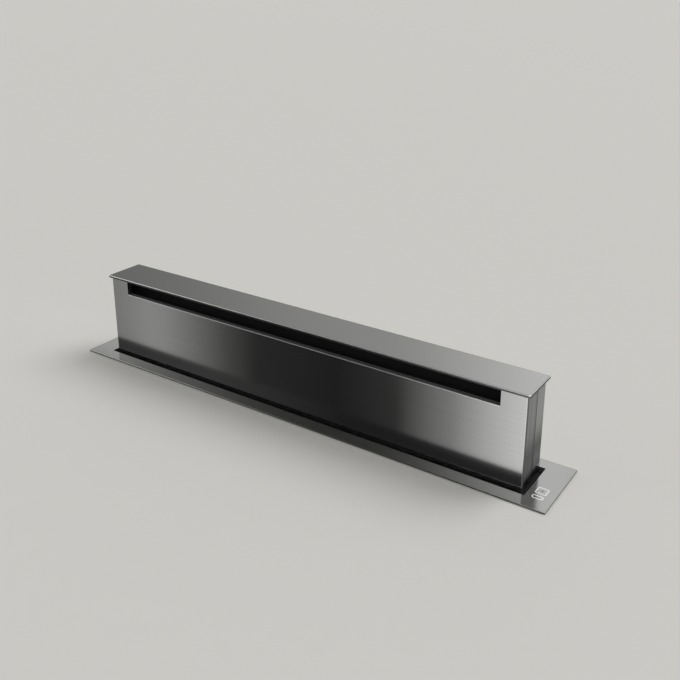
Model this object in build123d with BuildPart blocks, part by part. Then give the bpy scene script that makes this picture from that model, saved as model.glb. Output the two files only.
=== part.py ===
from build123d import *

import os
from math import acos, cos, pi, radians, sin, sqrt, tan

# A retractable downdraft vent for a kitchen worktop, in millimetres.
# The origin is the middle of the trim plate at the worktop surface, +Z is up, X runs along the
# vent's length and -Y is the side that faces the hob, where the intake slot is.
# The riser is drawn raised. It slides down by riser_travel, until its lid is level with the plate.

# ---- driving dimensions -----------------------------------------------------------------------

# trim plate and the frame under it
plate_width = 920.0
plate_depth = 126.0
plate_thickness = 2.0
plate_corner = 1.0
plate_edge = 0.4
end_margin = 40.0
front_margin = 23.0
gasket_thickness = 1.0
gasket_inset = 3.0
gasket_band = 7.0
flange_thickness = 2.0
frame_setback = 2.0
web_thickness = 2.0
web_height = 8.0

# riser: lid, body and intake slot
riser_travel = 153.0
riser_tail = 100.0
lid_gap = 2.5
lid_height = 4.0
lid_edge = 0.8
lid_overhang_end = 5.0
lid_overhang_front = 4.5
sheet = 1.0
bend_radius = 1.4
slot_inset = 39.5
slot_height = 27.0
slot_lip = 9.0
slot_lip_edge = 0.9
front_return = 5.4
side_seam_front = 0.6
side_seam_rear = 2.4
side_strip = 29.0
side_plate = 2.0

# seal round the riser
seal_thickness = 2.0
seal_lip = 3.0
seal_wall = 1.2
seal_gap = 0.5

# grease filters
filter_count = 3
filter_bottom = -8.0
filter_drop = 7.0
filter_thickness = 9.0
filter_border = 10.0
filter_mesh = 5.0
filter_front = -10.0
filter_gap = 1.0
filter_play = 0.3
tray_sheet = 1.5
tray_lip = 12.0
tray_channel = 8.0
baffle_sheet = 1.0
baffle_ledge = 1.0

# housing under the worktop
side_room = 24.5
front_room = 9.0
plenum_height = 225.0
flange_width = 12.0
frame_bar = 12.0
top_screw_row = 60.0
bottom_screw_row = 20.0
screw_rows = 4

# lift drive
gear_module = 1.5
pinion_teeth = 18
pinion_width = 10.0
hub_length = 7.0
drive_module = 1.0
shaft_gear_teeth = 32
motor_pinion_teeth = 16
drive_width = 8.0
backlash = 0.2
shaft_radius = 4.0
shaft_drop = 22.0
running_gap = 0.05
bush_wall = 2.0
bush_collar = 6.0
rack_width = 8.0
rack_depth = 10.0
rack_overrun = 15.0
rack_below_rail = 6.0
rail_width = 21.0
rail_sheet = 1.5
rail_reach = 14.0
rail_y = -14.0
rail_below_seal = 5.0
rail_overrun = 4.0
shoe_height = 30.0
shoe_play = 0.3
shoe_inset = 2.0
shoe_below_rail = 4.0
shoe_chamfer = 1.5

# position magnet on the riser and the two sensors that it passes
magnet_x = 200.0
magnet_size = 8.0
magnet_thickness = 3.0
magnet_inset = 5.0
magnet_gap = 4.0
sensor_width = 20.0
sensor_height = 16.0

# lift motor
drive_inset = 82.5
gear_to_bracket = 6.0
motor_drop = 11.0
gearbox_radius = 22.0
gearbox_length = 40.0
gearbox_nose = 4.0
motor_radius = 18.0
motor_length = 70.0
stub_radius = 3.0
stub_depth = 24.0
bracket_sheet = 2.5
bracket_foot = 24.0
terminal_y = 9.0
terminal_length = 6.0
terminal_width = 4.8
terminal_sheet = 0.8

# blower
blower_width = 330.0
scroll_room = 9.0
inlet_rim = 10.0
mouth_radius = 7.0
mouth_gap = 7.0
impeller_radius = 95.0
impeller_depth = 86.0
impeller_gap = 11.0
impeller_sheet = 2.0
impeller_hub = 30.0
blade_count = 36
blade_chord = 15.0
blade_sheet = 1.0
blade_lean = 32.0
scroll_gap = 9.0
scroll_step = 14.0
scroll_sheet = 1.2
fan_motor_radius = 52.0
fan_motor_room = 12.8
fan_motor_edge = 6.0
fan_motor_rim = 8.0
fan_shaft_reach = 69.0
cover_screw_inset = 7.0
can_radius = 15.0
can_length = 62.0
can_rim = 2.0
can_inset = 19.0

# duct collar and its two flaps
duct_radius = 74.5
duct_wall = 1.5
duct_length = 83.0
collar_rim = 5.0
collar_room = 11.0
collar_forward = 4.0
collar_drop = 0.5
collar_sheet = 2.0
collar_screw_inset = 9.5
flap_gap = 1.5
flap_sheet = 1.2
flap_pin_radius = 2.0
flap_pin_gap = 0.08
flap_knuckle = 3.6
flap_pin_inset = 9.0
flap_root = 4.0
flap_seat = 5.5
barrel_split = 19.5
barrel_gap = 0.5
barrel_inset = 13.5

# controls
key_width = 17.0
fan_key_height = 16.0
lift_key_height = 8.0
key_end = 17.5
key_front = 23.0
key_gap = 5.0
case_room_x = 4.0
case_room_y = 8.0
touch_case_height = 13.0
case_wall = 1.2
case_play = 0.3
case_post = 1.5
board_thickness = 1.6
board_drop = 2.5
control_gap = 35.0
control_above_scroll = 15.0
control_width = 160.0
control_height = 140.0
control_depth = 50.0
control_wall = 2.0
control_corner = 3.0
control_post = 3.0
control_post_inset = 6.0
control_standoff = 8.0
gland_inset = 40.0
gland_radius = 8.0
gland_bore = 4.0
gland_outside = 18.0
gland_inside = 6.0
gland_nut = 4.0
lead_radius = 2.0
lead_standoff = 6.0
clip_wall = 1.2
clip_width = 6.0

# fixing
foot_slot_spacing = 40.0
foot_slot_length = 14.0
foot_slot_radius = 3.25
foot_reach = 30.0
foot_width = 60.0
foot_height = 60.0
foot_sheet = 2.0
worktop_thickness = 38.0
clamp_x = 300.0
clamp_width = 20.0
clamp_height = 40.0
clamp_reach = 26.0
clamp_gap = 12.0
clamp_screw_radius = 2.5
clamp_screw_inset = 8.0
clamp_screw_tail = 20.0
clamp_pad = 3.0
screw_radius = 2.0
screw_head_radius = 3.6
screw_head_height = 1.8

# ---- places worked out from the sizes ---------------------------------------------------------

opening_width = plate_width - 2 * end_margin
opening_depth = plate_depth - 2 * front_margin
lid_width = opening_width - 2 * lid_gap
lid_depth = opening_depth - 2 * lid_gap
body_width = lid_width - 2 * lid_overhang_end
body_depth = lid_depth - 2 * lid_overhang_front
slot_width = body_width - 2 * slot_inset
housing_width = body_width + 2 * side_room
housing_depth = opening_depth + 2 * front_room

plate_top = gasket_thickness + plate_thickness
lid_top = plate_top + riser_travel
lid_bottom = lid_top - lid_height
slot_bottom = lid_bottom - slot_height
riser_bottom = -riser_tail
body_x = body_width / 2
body_y = body_depth / 2
inside_x = body_x - sheet - side_plate
inside_y = body_y - sheet

flange_bottom = gasket_thickness - flange_thickness
web_bottom = flange_bottom - web_height
frame_x = opening_width / 2 + frame_setback
frame_y = opening_depth / 2 + frame_setback

housing_x = housing_width / 2 - sheet
housing_y = housing_depth / 2 - sheet
shaft_z = riser_bottom - riser_travel - shaft_drop
housing_bottom = shaft_z - plenum_height

pinion_radius = gear_module * pinion_teeth / 2
shaft_gear_radius = drive_module * shaft_gear_teeth / 2
motor_pinion_radius = drive_module * motor_pinion_teeth / 2
motor_pinion_z = shaft_z - shaft_gear_radius - motor_pinion_radius
gearbox_z = motor_pinion_z - motor_drop
rail_top = web_bottom - rail_below_seal
rail_bottom = riser_bottom - riser_travel - rail_overrun
rack_top = rail_top - rack_below_rail
rack_bottom = shaft_z - rack_overrun
rack_x = body_x + rack_width / 2
shoe_bottoms = (riser_bottom + shoe_inset, rail_top - shoe_below_rail - shoe_height)
drive_x = body_x - drive_inset
gearbox_face = drive_x - gear_to_bracket
stub_start = gearbox_face - stub_depth
motor_end = gearbox_face - gearbox_length

inlet_radius = impeller_radius - inlet_rim
scroll_start = impeller_radius + scroll_gap
scroll_depth = impeller_gap + impeller_depth + mouth_gap + mouth_radius + scroll_sheet
outlet_reach = scroll_start + scroll_step
collar_flange = 2 * (duct_radius + collar_rim)
blower_height = 2 * (scroll_start + 3 * scroll_step + scroll_room)
blower_depth = collar_flange + collar_room
blower_x = blower_width / 2
blower_top = housing_bottom + blower_height
blower_back = -housing_depth / 2
blower_front = blower_back - blower_depth
scroll_z = housing_bottom + blower_height / 2
scroll_front = blower_back - scroll_depth
impeller_back = scroll_front + impeller_gap
outlet_bottom = scroll_z
outlet_top = scroll_z + scroll_start + 3 * scroll_step
fan_motor_length = blower_depth - scroll_depth - fan_motor_room
duct_y = blower_back - blower_depth / 2 + collar_forward
duct_z = blower_top - collar_flange / 2 - collar_drop
collar_x = -blower_x
flap_x = collar_x - flap_pin_inset
tube_bore = duct_radius - duct_wall
flap_radius = tube_bore - flap_gap
barrel_end = flap_radius - barrel_inset

filter_top = slot_bottom - filter_drop
filter_height = filter_top - filter_bottom
filter_back = filter_front + filter_thickness
filter_width = (2 * inside_x - (filter_count + 1) * filter_gap) / filter_count

key_x = opening_width / 2 + key_end
fan_key_y = key_front - opening_depth / 2
lift_key_y = fan_key_y - fan_key_height / 2 - key_gap - lift_key_height / 2
touch_case_width = key_width + case_room_x
touch_case_depth = fan_key_height + key_gap + lift_key_height + case_room_y
touch_bottom = gasket_thickness - touch_case_height
touch_y = (fan_key_y + fan_key_height / 2 + lift_key_y - lift_key_height / 2) / 2
board_top = gasket_thickness - board_drop
control_x = blower_x + control_gap
control_right = control_x + control_width
control_bottom = scroll_z + control_above_scroll
control_top = control_bottom + control_height
control_front = blower_back - control_depth
gland_x = control_x + gland_inset
gland_y = blower_back - control_depth / 2
clamp_top = -worktop_thickness - clamp_gap

cover_x = blower_x - cover_screw_inset
cover_z = blower_height / 2 - cover_screw_inset
cover_screws = [(x, z) for x in (-cover_x, 0.0, cover_x) for z in (-cover_z, 0.0, cover_z) if x or z]
row_pitch = (-housing_bottom - top_screw_row - bottom_screw_row) / (screw_rows - 1)
panel_screw_rows = [-top_screw_row - row * row_pitch for row in range(screw_rows)]
collar_screw = collar_flange / 2 - collar_screw_inset
collar_screws = [(y, z) for y in (-collar_screw, collar_screw) for z in (-collar_screw, collar_screw)]

os.makedirs("parts", exist_ok=True)


# ---- small helpers ----------------------------------------------------------------------------


def slab(x, y, z, mode=Mode.ADD):
    """A rectangular block in the open part, from its low and high end along each axis."""
    with Locations(((x[0] + x[1]) / 2, (y[0] + y[1]) / 2, (z[0] + z[1]) / 2)):
        Box(x[1] - x[0], y[1] - y[0], z[1] - z[0], mode=mode)


def rod(start, length, radius, turn=(0, 0, 0), mode=Mode.ADD):
    """A cylinder in the open part that starts at a point and runs along +Z before its turn."""
    with Locations(Location(start, turn)):
        Cylinder(radius, length, align=(Align.CENTER, Align.CENTER, Align.MIN), mode=mode)


def save(part, name):
    """Labels a finished piece and writes it under its own name."""
    part.label = name
    export_step(part, f"parts/{name}.step")


ALONG_X = (0, 90, 0)
ALONG_MINUS_Y = (90, 0, 0)
ALONG_Z = (0, 0, 0)


def involute(angle):
    """The involute function of a pressure angle in radians."""
    return tan(angle) - angle


def gear_points(module, teeth, turn):
    """Corners of a spur gear with involute flanks, one tooth centred on the given angle."""
    pressure = radians(20)
    pitch = module * teeth / 2
    base = pitch * cos(pressure)
    root = pitch - 1.25 * module
    tip = pitch + module
    half_pitch = (pi * module / 2 - backlash / 2) / (2 * pitch)
    start = max(base, root)
    radii = [start + (tip - start) * step / 4 for step in range(5)]
    halves = [half_pitch + involute(pressure) - involute(acos(min(1.0, base / r))) for r in radii]
    points = []
    for tooth in range(teeth):
        middle = radians(turn) + 2 * pi * tooth / teeth
        flank = [(root, -halves[0])] if root < base else []
        flank += [(r, -half) for r, half in zip(radii, halves)]
        flank += [(r, -half) for r, half in reversed(flank)]
        points += [(r * cos(middle + a), r * sin(middle + a)) for r, a in flank]
    return points


def gear_plane(x, z):
    """The plane of a gear's face at x, with its middle on the shaft axis at height z."""
    return Plane(origin=(x, 0, z), x_dir=(0, 1, 0), z_dir=(1, 0, 0))


def rack_points():
    """Corners of the rack's side view, with its teeth towards -Y and its back towards +Y."""
    pitch = pi * gear_module
    slope = tan(radians(20))
    half_pitch = pitch / 4 - backlash / 4
    half_tip = half_pitch - gear_module * slope
    half_root = half_pitch + 1.25 * gear_module * slope
    tip_y = pinion_radius - gear_module
    root_y = pinion_radius + 1.25 * gear_module
    back_y = tip_y + rack_depth
    points = [(back_y, rack_bottom), (root_y, rack_bottom)]
    tooth = -int((shaft_z - rack_bottom) / pitch - 0.5) - 0.5
    while shaft_z + (tooth + 1) * pitch < rack_top:
        middle = shaft_z + tooth * pitch
        points += [(root_y, middle - half_root), (tip_y, middle - half_tip)]
        points += [(tip_y, middle + half_tip), (root_y, middle + half_root)]
        tooth += 1
    return points + [(root_y, rack_top), (back_y, rack_top)]


def screw(head, turn):
    """A pan-head screw in the open part, its head out from the sheet that it holds."""
    with Locations(Location(head, turn)):
        Cylinder(screw_head_radius, screw_head_height, align=(Align.CENTER, Align.CENTER, Align.MIN))
        Cylinder(screw_radius, 3 * sheet, align=(Align.CENTER, Align.CENTER, Align.MAX))


def screw_hole(point, turn):
    """The hole for a screw through sheet, in the open part."""
    with Locations(Location(point, turn)):
        Cylinder(screw_radius, 8 * sheet, mode=Mode.SUBTRACT)


def scroll_outline():
    """The scroll's inner outline: three growing quarter arcs round the fan and a straight outlet."""
    step = scroll_step
    CenterArc((0, scroll_z), scroll_start, 180, 90)
    CenterArc((0, scroll_z + step), scroll_start + step, 270, 90)
    CenterArc((-step, scroll_z + step), scroll_start + 2 * step, 0, 90)
    Line((-step, outlet_top), (-outlet_reach, outlet_top))
    Line((-outlet_reach, outlet_top), (-outlet_reach, outlet_bottom))
    Line((-outlet_reach, outlet_bottom), (-scroll_start, outlet_bottom))


# ---- plate, gasket and touch control ----------------------------------------------------------

with BuildPart() as trim_plate:
    with BuildSketch(Plane.XY.offset(gasket_thickness)):
        RectangleRounded(plate_width, plate_depth, plate_corner)
        Rectangle(opening_width, opening_depth, mode=Mode.SUBTRACT)
    extrude(amount=plate_thickness)
    chamfer(trim_plate.faces().sort_by(Axis.Z)[-1].outer_wire().edges(), plate_edge)
    with BuildSketch(Plane.XY.offset(gasket_thickness)):
        with Locations((key_x, fan_key_y)):
            RectangleRounded(key_width, fan_key_height, key_width / 5)
        with Locations((key_x, lift_key_y)):
            SlotOverall(key_width, lift_key_height)
    extrude(amount=plate_thickness, mode=Mode.SUBTRACT)
save(trim_plate.part, "trim_plate")

with BuildPart() as plate_gasket:
    with BuildSketch():
        Rectangle(plate_width - 2 * gasket_inset, plate_depth - 2 * gasket_inset)
        inner = 2 * (gasket_inset + gasket_band)
        Rectangle(plate_width - inner, plate_depth - inner, mode=Mode.SUBTRACT)
    extrude(amount=gasket_thickness)
save(plate_gasket.part, "plate_gasket")

with BuildPart() as key_windows:
    with BuildSketch(Plane.XY.offset(board_top)):
        with Locations((key_x, fan_key_y)):
            RectangleRounded(key_width, fan_key_height, key_width / 5)
        with Locations((key_x, lift_key_y)):
            SlotOverall(key_width, lift_key_height)
    extrude(amount=plate_top - board_top)
save(key_windows.part, "key_windows")

touch_x = (key_x - touch_case_width / 2, key_x + touch_case_width / 2)
touch_span = (touch_y - touch_case_depth / 2, touch_y + touch_case_depth / 2)
board_edge = case_wall + case_play
board_x = (touch_x[0] + board_edge, touch_x[1] - board_edge)
board_span = (touch_span[0] + board_edge, touch_span[1] - board_edge)
post_edge = case_post + case_play

with BuildPart() as touch_case:
    slab(touch_x, touch_span, (touch_bottom, gasket_thickness))
    room_x = (touch_x[0] + case_wall, touch_x[1] - case_wall)
    room_y = (touch_span[0] + case_wall, touch_span[1] - case_wall)
    slab(room_x, room_y, (touch_bottom + case_wall, gasket_thickness), Mode.SUBTRACT)
    post_height = board_top - board_thickness - touch_bottom
    for post_x in (board_x[0] + post_edge, board_x[1] - post_edge):
        for post_y in (board_span[0] + post_edge, board_span[1] - post_edge):
            rod((post_x, post_y, touch_bottom), post_height, case_post)
save(touch_case.part, "touch_case")

with BuildPart() as touch_board:
    slab(board_x, board_span, (board_top - board_thickness, board_top))
save(touch_board.part, "touch_board")

with BuildPart() as top_frame:
    with BuildSketch(Plane.XY.offset(flange_bottom)):
        Rectangle(housing_width, housing_depth)
    extrude(amount=flange_thickness)
    with BuildSketch(Plane.XY.offset(web_bottom)):
        Rectangle(2 * (frame_x + web_thickness), 2 * (frame_y + web_thickness))
    extrude(amount=web_height)
    with BuildSketch(Plane.XY.offset(web_bottom)):
        Rectangle(2 * frame_x, 2 * frame_y)
    extrude(amount=web_height + flange_thickness, mode=Mode.SUBTRACT)
    notch_x = (touch_x[0] - case_play, housing_width)
    notch_y = (touch_span[0] - case_play, touch_span[1] + case_play)
    slab(notch_x, notch_y, (web_bottom, gasket_thickness), Mode.SUBTRACT)
save(top_frame.part, "top_frame")

def seal_strip(ends, sides, lip_ends, lip_sides):
    """One strip of the seal: a flat foot on the frame with an upright lip against the riser."""
    with BuildPart() as strip:
        slab(ends, sides, (web_bottom, web_bottom + seal_thickness))
        slab(lip_ends, lip_sides, (web_bottom, web_bottom + seal_thickness + seal_lip))
    return strip.part


lip_x = body_x + seal_gap
lip_y = body_y + seal_gap
wall_x = lip_x + seal_wall
wall_y = lip_y + seal_wall
seal_strips = []
for side in (-1, 1):
    foot_y = sorted((side * lip_y, side * frame_y))
    wall = sorted((side * lip_y, side * wall_y))
    seal_strips.append(seal_strip((-frame_x, frame_x), foot_y, (-wall_x, wall_x), wall))
    foot_x = sorted((side * lip_x, side * frame_x))
    wall = sorted((side * lip_x, side * wall_x))
    seal_strips.append(seal_strip(foot_x, (-lip_y, lip_y), wall, (-lip_y, lip_y)))
save(Compound(children=seal_strips), "riser_seal")

# ---- housing under the worktop ----------------------------------------------------------------

with BuildPart() as housing_front:
    with BuildSketch(Plane.XZ.offset(housing_y)):
        with Locations((0, (flange_bottom + housing_bottom) / 2)):
            Rectangle(housing_width, flange_bottom - housing_bottom)
        with Locations((0, scroll_z)):
            Circle(inlet_radius, mode=Mode.SUBTRACT)
    extrude(amount=sheet)
    for screw_z in panel_screw_rows:
        for side in (-1, 1):
            screw_hole((side * (housing_x - flange_width / 2), -housing_y, screw_z), ALONG_MINUS_Y)
save(housing_front.part, "housing_front")

with BuildPart() as housing_back:
    with BuildSketch(Plane.XZ.offset(-housing_y)):
        with Locations((0, (flange_bottom + housing_bottom) / 2)):
            Rectangle(housing_width, flange_bottom - housing_bottom)
    extrude(amount=-sheet)
    for screw_z in panel_screw_rows:
        for side in (-1, 1):
            screw_hole((side * (housing_x - flange_width / 2), housing_y, screw_z), ALONG_MINUS_Y)
save(housing_back.part, "housing_back")


def housing_end(side):
    """An end sheet of the housing with a flange at each long edge, on side -1 or 1."""
    with BuildPart() as panel:
        outer = sorted((side * housing_x, side * (housing_x + sheet)))
        slab(outer, (-housing_y, housing_y), (housing_bottom, flange_bottom))
        flange = sorted((side * (housing_x - flange_width), side * housing_x))
        for edge in (-1, 1):
            flange_y = sorted((edge * housing_y, edge * (housing_y - sheet)))
            slab(flange, flange_y, (housing_bottom + sheet, flange_bottom))
            for screw_z in panel_screw_rows:
                middle = side * (housing_x - flange_width / 2)
                screw_hole((middle, edge * housing_y, screw_z), ALONG_MINUS_Y)
        bush_start = (side * housing_x - 2 * sheet, 0, shaft_z)
        rod(bush_start, 4 * sheet, shaft_radius + bush_wall, ALONG_X, Mode.SUBTRACT)
        if side > 0:
            room = (touch_span[0] - case_play, touch_span[1] + case_play)
            across = (housing_x - sheet, housing_x + 2 * sheet)
            slab(across, room, (touch_bottom - case_play, gasket_thickness), Mode.SUBTRACT)
    return panel.part


save(housing_end(-1), "housing_left")
save(housing_end(1), "housing_right")

with BuildPart() as housing_floor:
    slab((-housing_x, housing_x), (-housing_y, housing_y), (housing_bottom, housing_bottom + sheet))
    floor_x = housing_x - flange_width - sheet / 2
    for edge in (-1, 1):
        flange_y = sorted((edge * housing_y, edge * (housing_y - sheet)))
        slab((-floor_x, floor_x), flange_y, (housing_bottom + sheet, housing_bottom + flange_width))
save(housing_floor.part, "housing_floor")

with BuildPart() as guide_rails:
    for side in (-1, 1):
        web_x = sorted((side * housing_x, side * (housing_x - rail_sheet)))
        reach_x = sorted((side * housing_x, side * (housing_x - rail_reach)))
        rail_z = (rail_bottom, rail_top)
        slab(web_x, (rail_y - rail_width / 2, rail_y + rail_width / 2), rail_z)
        for edge in (-1, 1):
            outer = rail_y + edge * rail_width / 2
            slab(reach_x, sorted((outer, outer - edge * rail_sheet)), rail_z)
save(guide_rails.part, "guide_rails")

# ---- riser ------------------------------------------------------------------------------------

with BuildPart() as lid:
    with BuildSketch(Plane.XY.offset(lid_bottom)):
        RectangleRounded(lid_width, lid_depth, plate_corner)
    extrude(amount=lid_height)
    fillet(lid.faces().sort_by(Axis.Z)[-1].edges(), lid_edge)
save(lid.part, "lid")

with BuildPart() as front_panel:
    with BuildSketch(Plane.XZ.offset(inside_y)):
        with Locations((0, (lid_bottom + riser_bottom) / 2)):
            Rectangle(body_width, lid_bottom - riser_bottom)
        with Locations((0, (lid_bottom + slot_bottom) / 2)):
            Rectangle(slot_width, slot_height, mode=Mode.SUBTRACT)
    extrude(amount=sheet)
    slot_x = slot_width / 2
    lip_y = (-body_y, slot_lip - body_y)
    slab((-slot_x - sheet, slot_x + sheet), lip_y, (slot_bottom - sheet, slot_bottom))
    for side in (-1, 1):
        slab(sorted((side * slot_x, side * (slot_x + sheet))), lip_y, (slot_bottom - sheet, lid_bottom))
        return_x = sorted((side * body_x, side * (body_x - sheet)))
        slab(return_x, (-body_y, front_return - body_y), (riser_bottom, lid_bottom))
    uprights = front_panel.edges().filter_by(Axis.Z).group_by(Axis.Y)[0]
    fillet(uprights.filter_by(lambda edge: abs(edge.center().X) > body_x - sheet), bend_radius)
    along = front_panel.edges().filter_by(Axis.X).group_by(Axis.Y)[0]
    lip_edge = along.filter_by(lambda edge: abs(edge.center().Z - slot_bottom) < sheet / 2)
    fillet(lip_edge, slot_lip_edge * sheet)
save(front_panel.part, "front_panel")

seam_front_y = front_return + side_seam_front - body_y
seam_rear_y = seam_front_y + side_strip
rear_return_y = seam_rear_y + side_seam_rear

with BuildPart() as rear_panel:
    slab((-body_x, body_x), (inside_y, body_y), (riser_bottom, lid_bottom))
    for side in (-1, 1):
        return_x = sorted((side * body_x, side * (body_x - sheet)))
        slab(return_x, (rear_return_y, body_y), (riser_bottom, lid_bottom))
    uprights = rear_panel.edges().filter_by(Axis.Z).group_by(Axis.Y)[-1]
    fillet(uprights, bend_radius)
save(rear_panel.part, "rear_panel")

with BuildPart() as side_frames:
    for side in (-1, 1):
        plate_x = sorted((side * inside_x, side * (body_x - sheet)))
        strip_x = sorted((side * (body_x - sheet), side * body_x))
        slab(plate_x, (-inside_y, inside_y), (riser_bottom, lid_bottom))
        slab(strip_x, (seam_front_y, seam_rear_y), (riser_bottom, lid_bottom))
save(side_frames.part, "side_frames")

with BuildPart() as baffle:
    with BuildSketch(Plane.YZ.offset(-inside_x)):
        with BuildLine():
            ledge = filter_front - baffle_ledge
            rise = lid_bottom - 1.4 * baffle_sheet - filter_top
            Polyline(
                (ledge, filter_top),
                (filter_back, filter_top),
                (inside_y, filter_top + rise),
                (inside_y, filter_top + rise + 1.4 * baffle_sheet),
                (filter_back - 0.4 * baffle_sheet, filter_top + baffle_sheet),
                (ledge, filter_top + baffle_sheet),
                close=True,
            )
        make_face()
    extrude(amount=2 * inside_x)
save(baffle.part, "baffle")

filter_places = {"left": -1, "middle": 0, "right": 1}
for place, step in filter_places.items():
    with BuildPart() as filter_frame:
        with BuildSketch(Plane.XZ.offset(-filter_back)):
            with Locations((step * (filter_width + filter_gap), (filter_bottom + filter_top) / 2)):
                Rectangle(filter_width, filter_height)
                inner = 2 * filter_border
                Rectangle(filter_width - inner, filter_height - inner, mode=Mode.SUBTRACT)
        extrude(amount=filter_thickness)
    save(filter_frame.part, f"filter_frame_{place}")

with BuildPart() as filter_meshes:
    with BuildSketch(Plane.XZ.offset(-filter_back + (filter_thickness - filter_mesh) / 2)):
        for step in filter_places.values():
            with Locations((step * (filter_width + filter_gap), (filter_bottom + filter_top) / 2)):
                inner = 2 * filter_border
                Rectangle(filter_width - inner, filter_height - inner)
    extrude(amount=filter_mesh)
save(filter_meshes.part, "filter_meshes")

with BuildPart() as filter_tray:
    channel_back = filter_back + filter_play + tray_sheet
    channel_front = filter_front - filter_play - tray_sheet
    length = (-inside_x, inside_x)
    slab(length, (-inside_y, channel_back), (filter_bottom - tray_sheet, filter_bottom))
    channel_z = (filter_bottom, filter_bottom + tray_channel)
    slab(length, (filter_back + filter_play, channel_back), channel_z)
    slab(length, (channel_front, channel_front + tray_sheet), channel_z)
    slab(length, (-inside_y, tray_sheet - inside_y), (filter_bottom, filter_bottom + tray_lip))
save(filter_tray.part, "filter_tray")

frame_z = (riser_bottom, riser_bottom + side_plate)
frame_bars = []
for side in (-1, 1):
    with BuildPart() as long_bar:
        slab((-inside_x, inside_x), sorted((side * inside_y, side * (inside_y - frame_bar))), frame_z)
    with BuildPart() as end_bar:
        bar_x = sorted((side * inside_x, side * (inside_x - frame_bar)))
        slab(bar_x, (frame_bar - inside_y, inside_y - frame_bar), frame_z)
    frame_bars += [long_bar.part, end_bar.part]
save(Compound(children=frame_bars), "bottom_frame")

with BuildPart() as racks:
    with BuildSketch(Plane.YZ.offset(body_x)):
        with BuildLine():
            Polyline(*rack_points(), close=True)
        make_face()
    extrude(amount=rack_width)
    mirror(about=Plane.YZ)
save(racks.part, "racks")

with BuildPart() as glide_shoes:
    shoe_width = rail_width - 2 * rail_sheet - 2 * shoe_play
    for side in (-1, 1):
        shoe_x = sorted((side * body_x, side * (housing_x - rail_sheet - shoe_play)))
        for low in shoe_bottoms:
            slab(shoe_x, (rail_y - shoe_width / 2, rail_y + shoe_width / 2), (low, low + shoe_height))
    chamfer(glide_shoes.edges().filter_by(Axis.Y), shoe_chamfer)
save(glide_shoes.part, "glide_shoes")

magnet_bottom = riser_bottom + magnet_inset
magnet_face = body_y + magnet_thickness

with BuildPart() as position_magnet:
    across = (magnet_x - magnet_size / 2, magnet_x + magnet_size / 2)
    slab(across, (body_y, magnet_face), (magnet_bottom, magnet_bottom + magnet_size))
save(position_magnet.part, "position_magnet")

with BuildPart() as limit_sensors:
    across = (magnet_x - sensor_width / 2, magnet_x + sensor_width / 2)
    for drop in (0.0, riser_travel):
        middle = magnet_bottom + magnet_size / 2 - drop
        sensor_z = (middle - sensor_height / 2, middle + sensor_height / 2)
        slab(across, (magnet_face + magnet_gap, housing_y), sensor_z)
save(limit_sensors.part, "limit_sensors")

# ---- lift drive -------------------------------------------------------------------------------

with BuildPart() as cross_shaft:
    shaft_end = housing_x + sheet
    rod((-shaft_end, 0, shaft_z), 2 * shaft_end, shaft_radius, ALONG_X)
save(cross_shaft.part, "cross_shaft")

with BuildPart() as shaft_bearings:
    for side in (-1, 1):
        collar = sorted((side * (housing_x - bush_wall), side * housing_x))
        sleeve = sorted((side * (housing_x - bush_wall), side * (housing_x + 2 * sheet)))
        length = sleeve[1] - sleeve[0]
        rod((sleeve[0], 0, shaft_z), length, shaft_radius + bush_wall, ALONG_X)
        rod((collar[0], 0, shaft_z), bush_wall, shaft_radius + bush_collar, ALONG_X)
        bore = shaft_radius + running_gap
        rod((sleeve[0] - sheet, 0, shaft_z), length + 2 * sheet, bore, ALONG_X, Mode.SUBTRACT)
save(shaft_bearings.part, "shaft_bearings")

with BuildPart() as rack_pinions:
    with BuildSketch(gear_plane(rack_x - pinion_width / 2, shaft_z)):
        with BuildLine():
            Polyline(*gear_points(gear_module, pinion_teeth, 0), close=True)
        make_face()
    extrude(amount=pinion_width)
    hub_start = rack_x - pinion_width / 2 - hub_length
    rod((hub_start, 0, shaft_z), hub_length, 2 * shaft_radius, ALONG_X)
    bore_length = hub_length + pinion_width
    rod((hub_start, 0, shaft_z), bore_length, shaft_radius, ALONG_X, Mode.SUBTRACT)
    mirror(about=Plane.YZ)
save(rack_pinions.part, "rack_pinions")

with BuildPart() as shaft_gear:
    with BuildSketch(gear_plane(drive_x, shaft_z)):
        with BuildLine():
            Polyline(*gear_points(drive_module, shaft_gear_teeth, 0), close=True)
        make_face()
    extrude(amount=drive_width)
    rod((drive_x + drive_width, 0, shaft_z), hub_length, 2 * shaft_radius, ALONG_X)
    rod((drive_x, 0, shaft_z), drive_width + hub_length, shaft_radius, ALONG_X, Mode.SUBTRACT)
save(shaft_gear.part, "shaft_gear")

with BuildPart() as motor_pinion:
    with BuildSketch(gear_plane(drive_x - 1, motor_pinion_z)):
        with BuildLine():
            turn = 180 / motor_pinion_teeth
            Polyline(*gear_points(drive_module, motor_pinion_teeth, turn), close=True)
        make_face()
    extrude(amount=drive_width + 2)
    rod((stub_start, 0, motor_pinion_z), drive_x - stub_start, stub_radius, ALONG_X)
save(motor_pinion.part, "motor_pinion")

with BuildPart() as lift_gearbox:
    rod((gearbox_face - gearbox_length, 0, gearbox_z), gearbox_length, gearbox_radius, ALONG_X)
    fillet(lift_gearbox.edges().filter_by(GeomType.CIRCLE), 1.0)
    nose_length = 2 * bracket_sheet
    nose_radius = stub_radius + gearbox_nose
    rod((gearbox_face - bracket_sheet, 0, motor_pinion_z), nose_length + 0.5, nose_radius, ALONG_X)
    bore_start = stub_start - bracket_sheet
    bore_length = gearbox_face + nose_length - bore_start
    rod((bore_start, 0, motor_pinion_z), bore_length, stub_radius + running_gap, ALONG_X, Mode.SUBTRACT)
save(lift_gearbox.part, "lift_gearbox")

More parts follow.
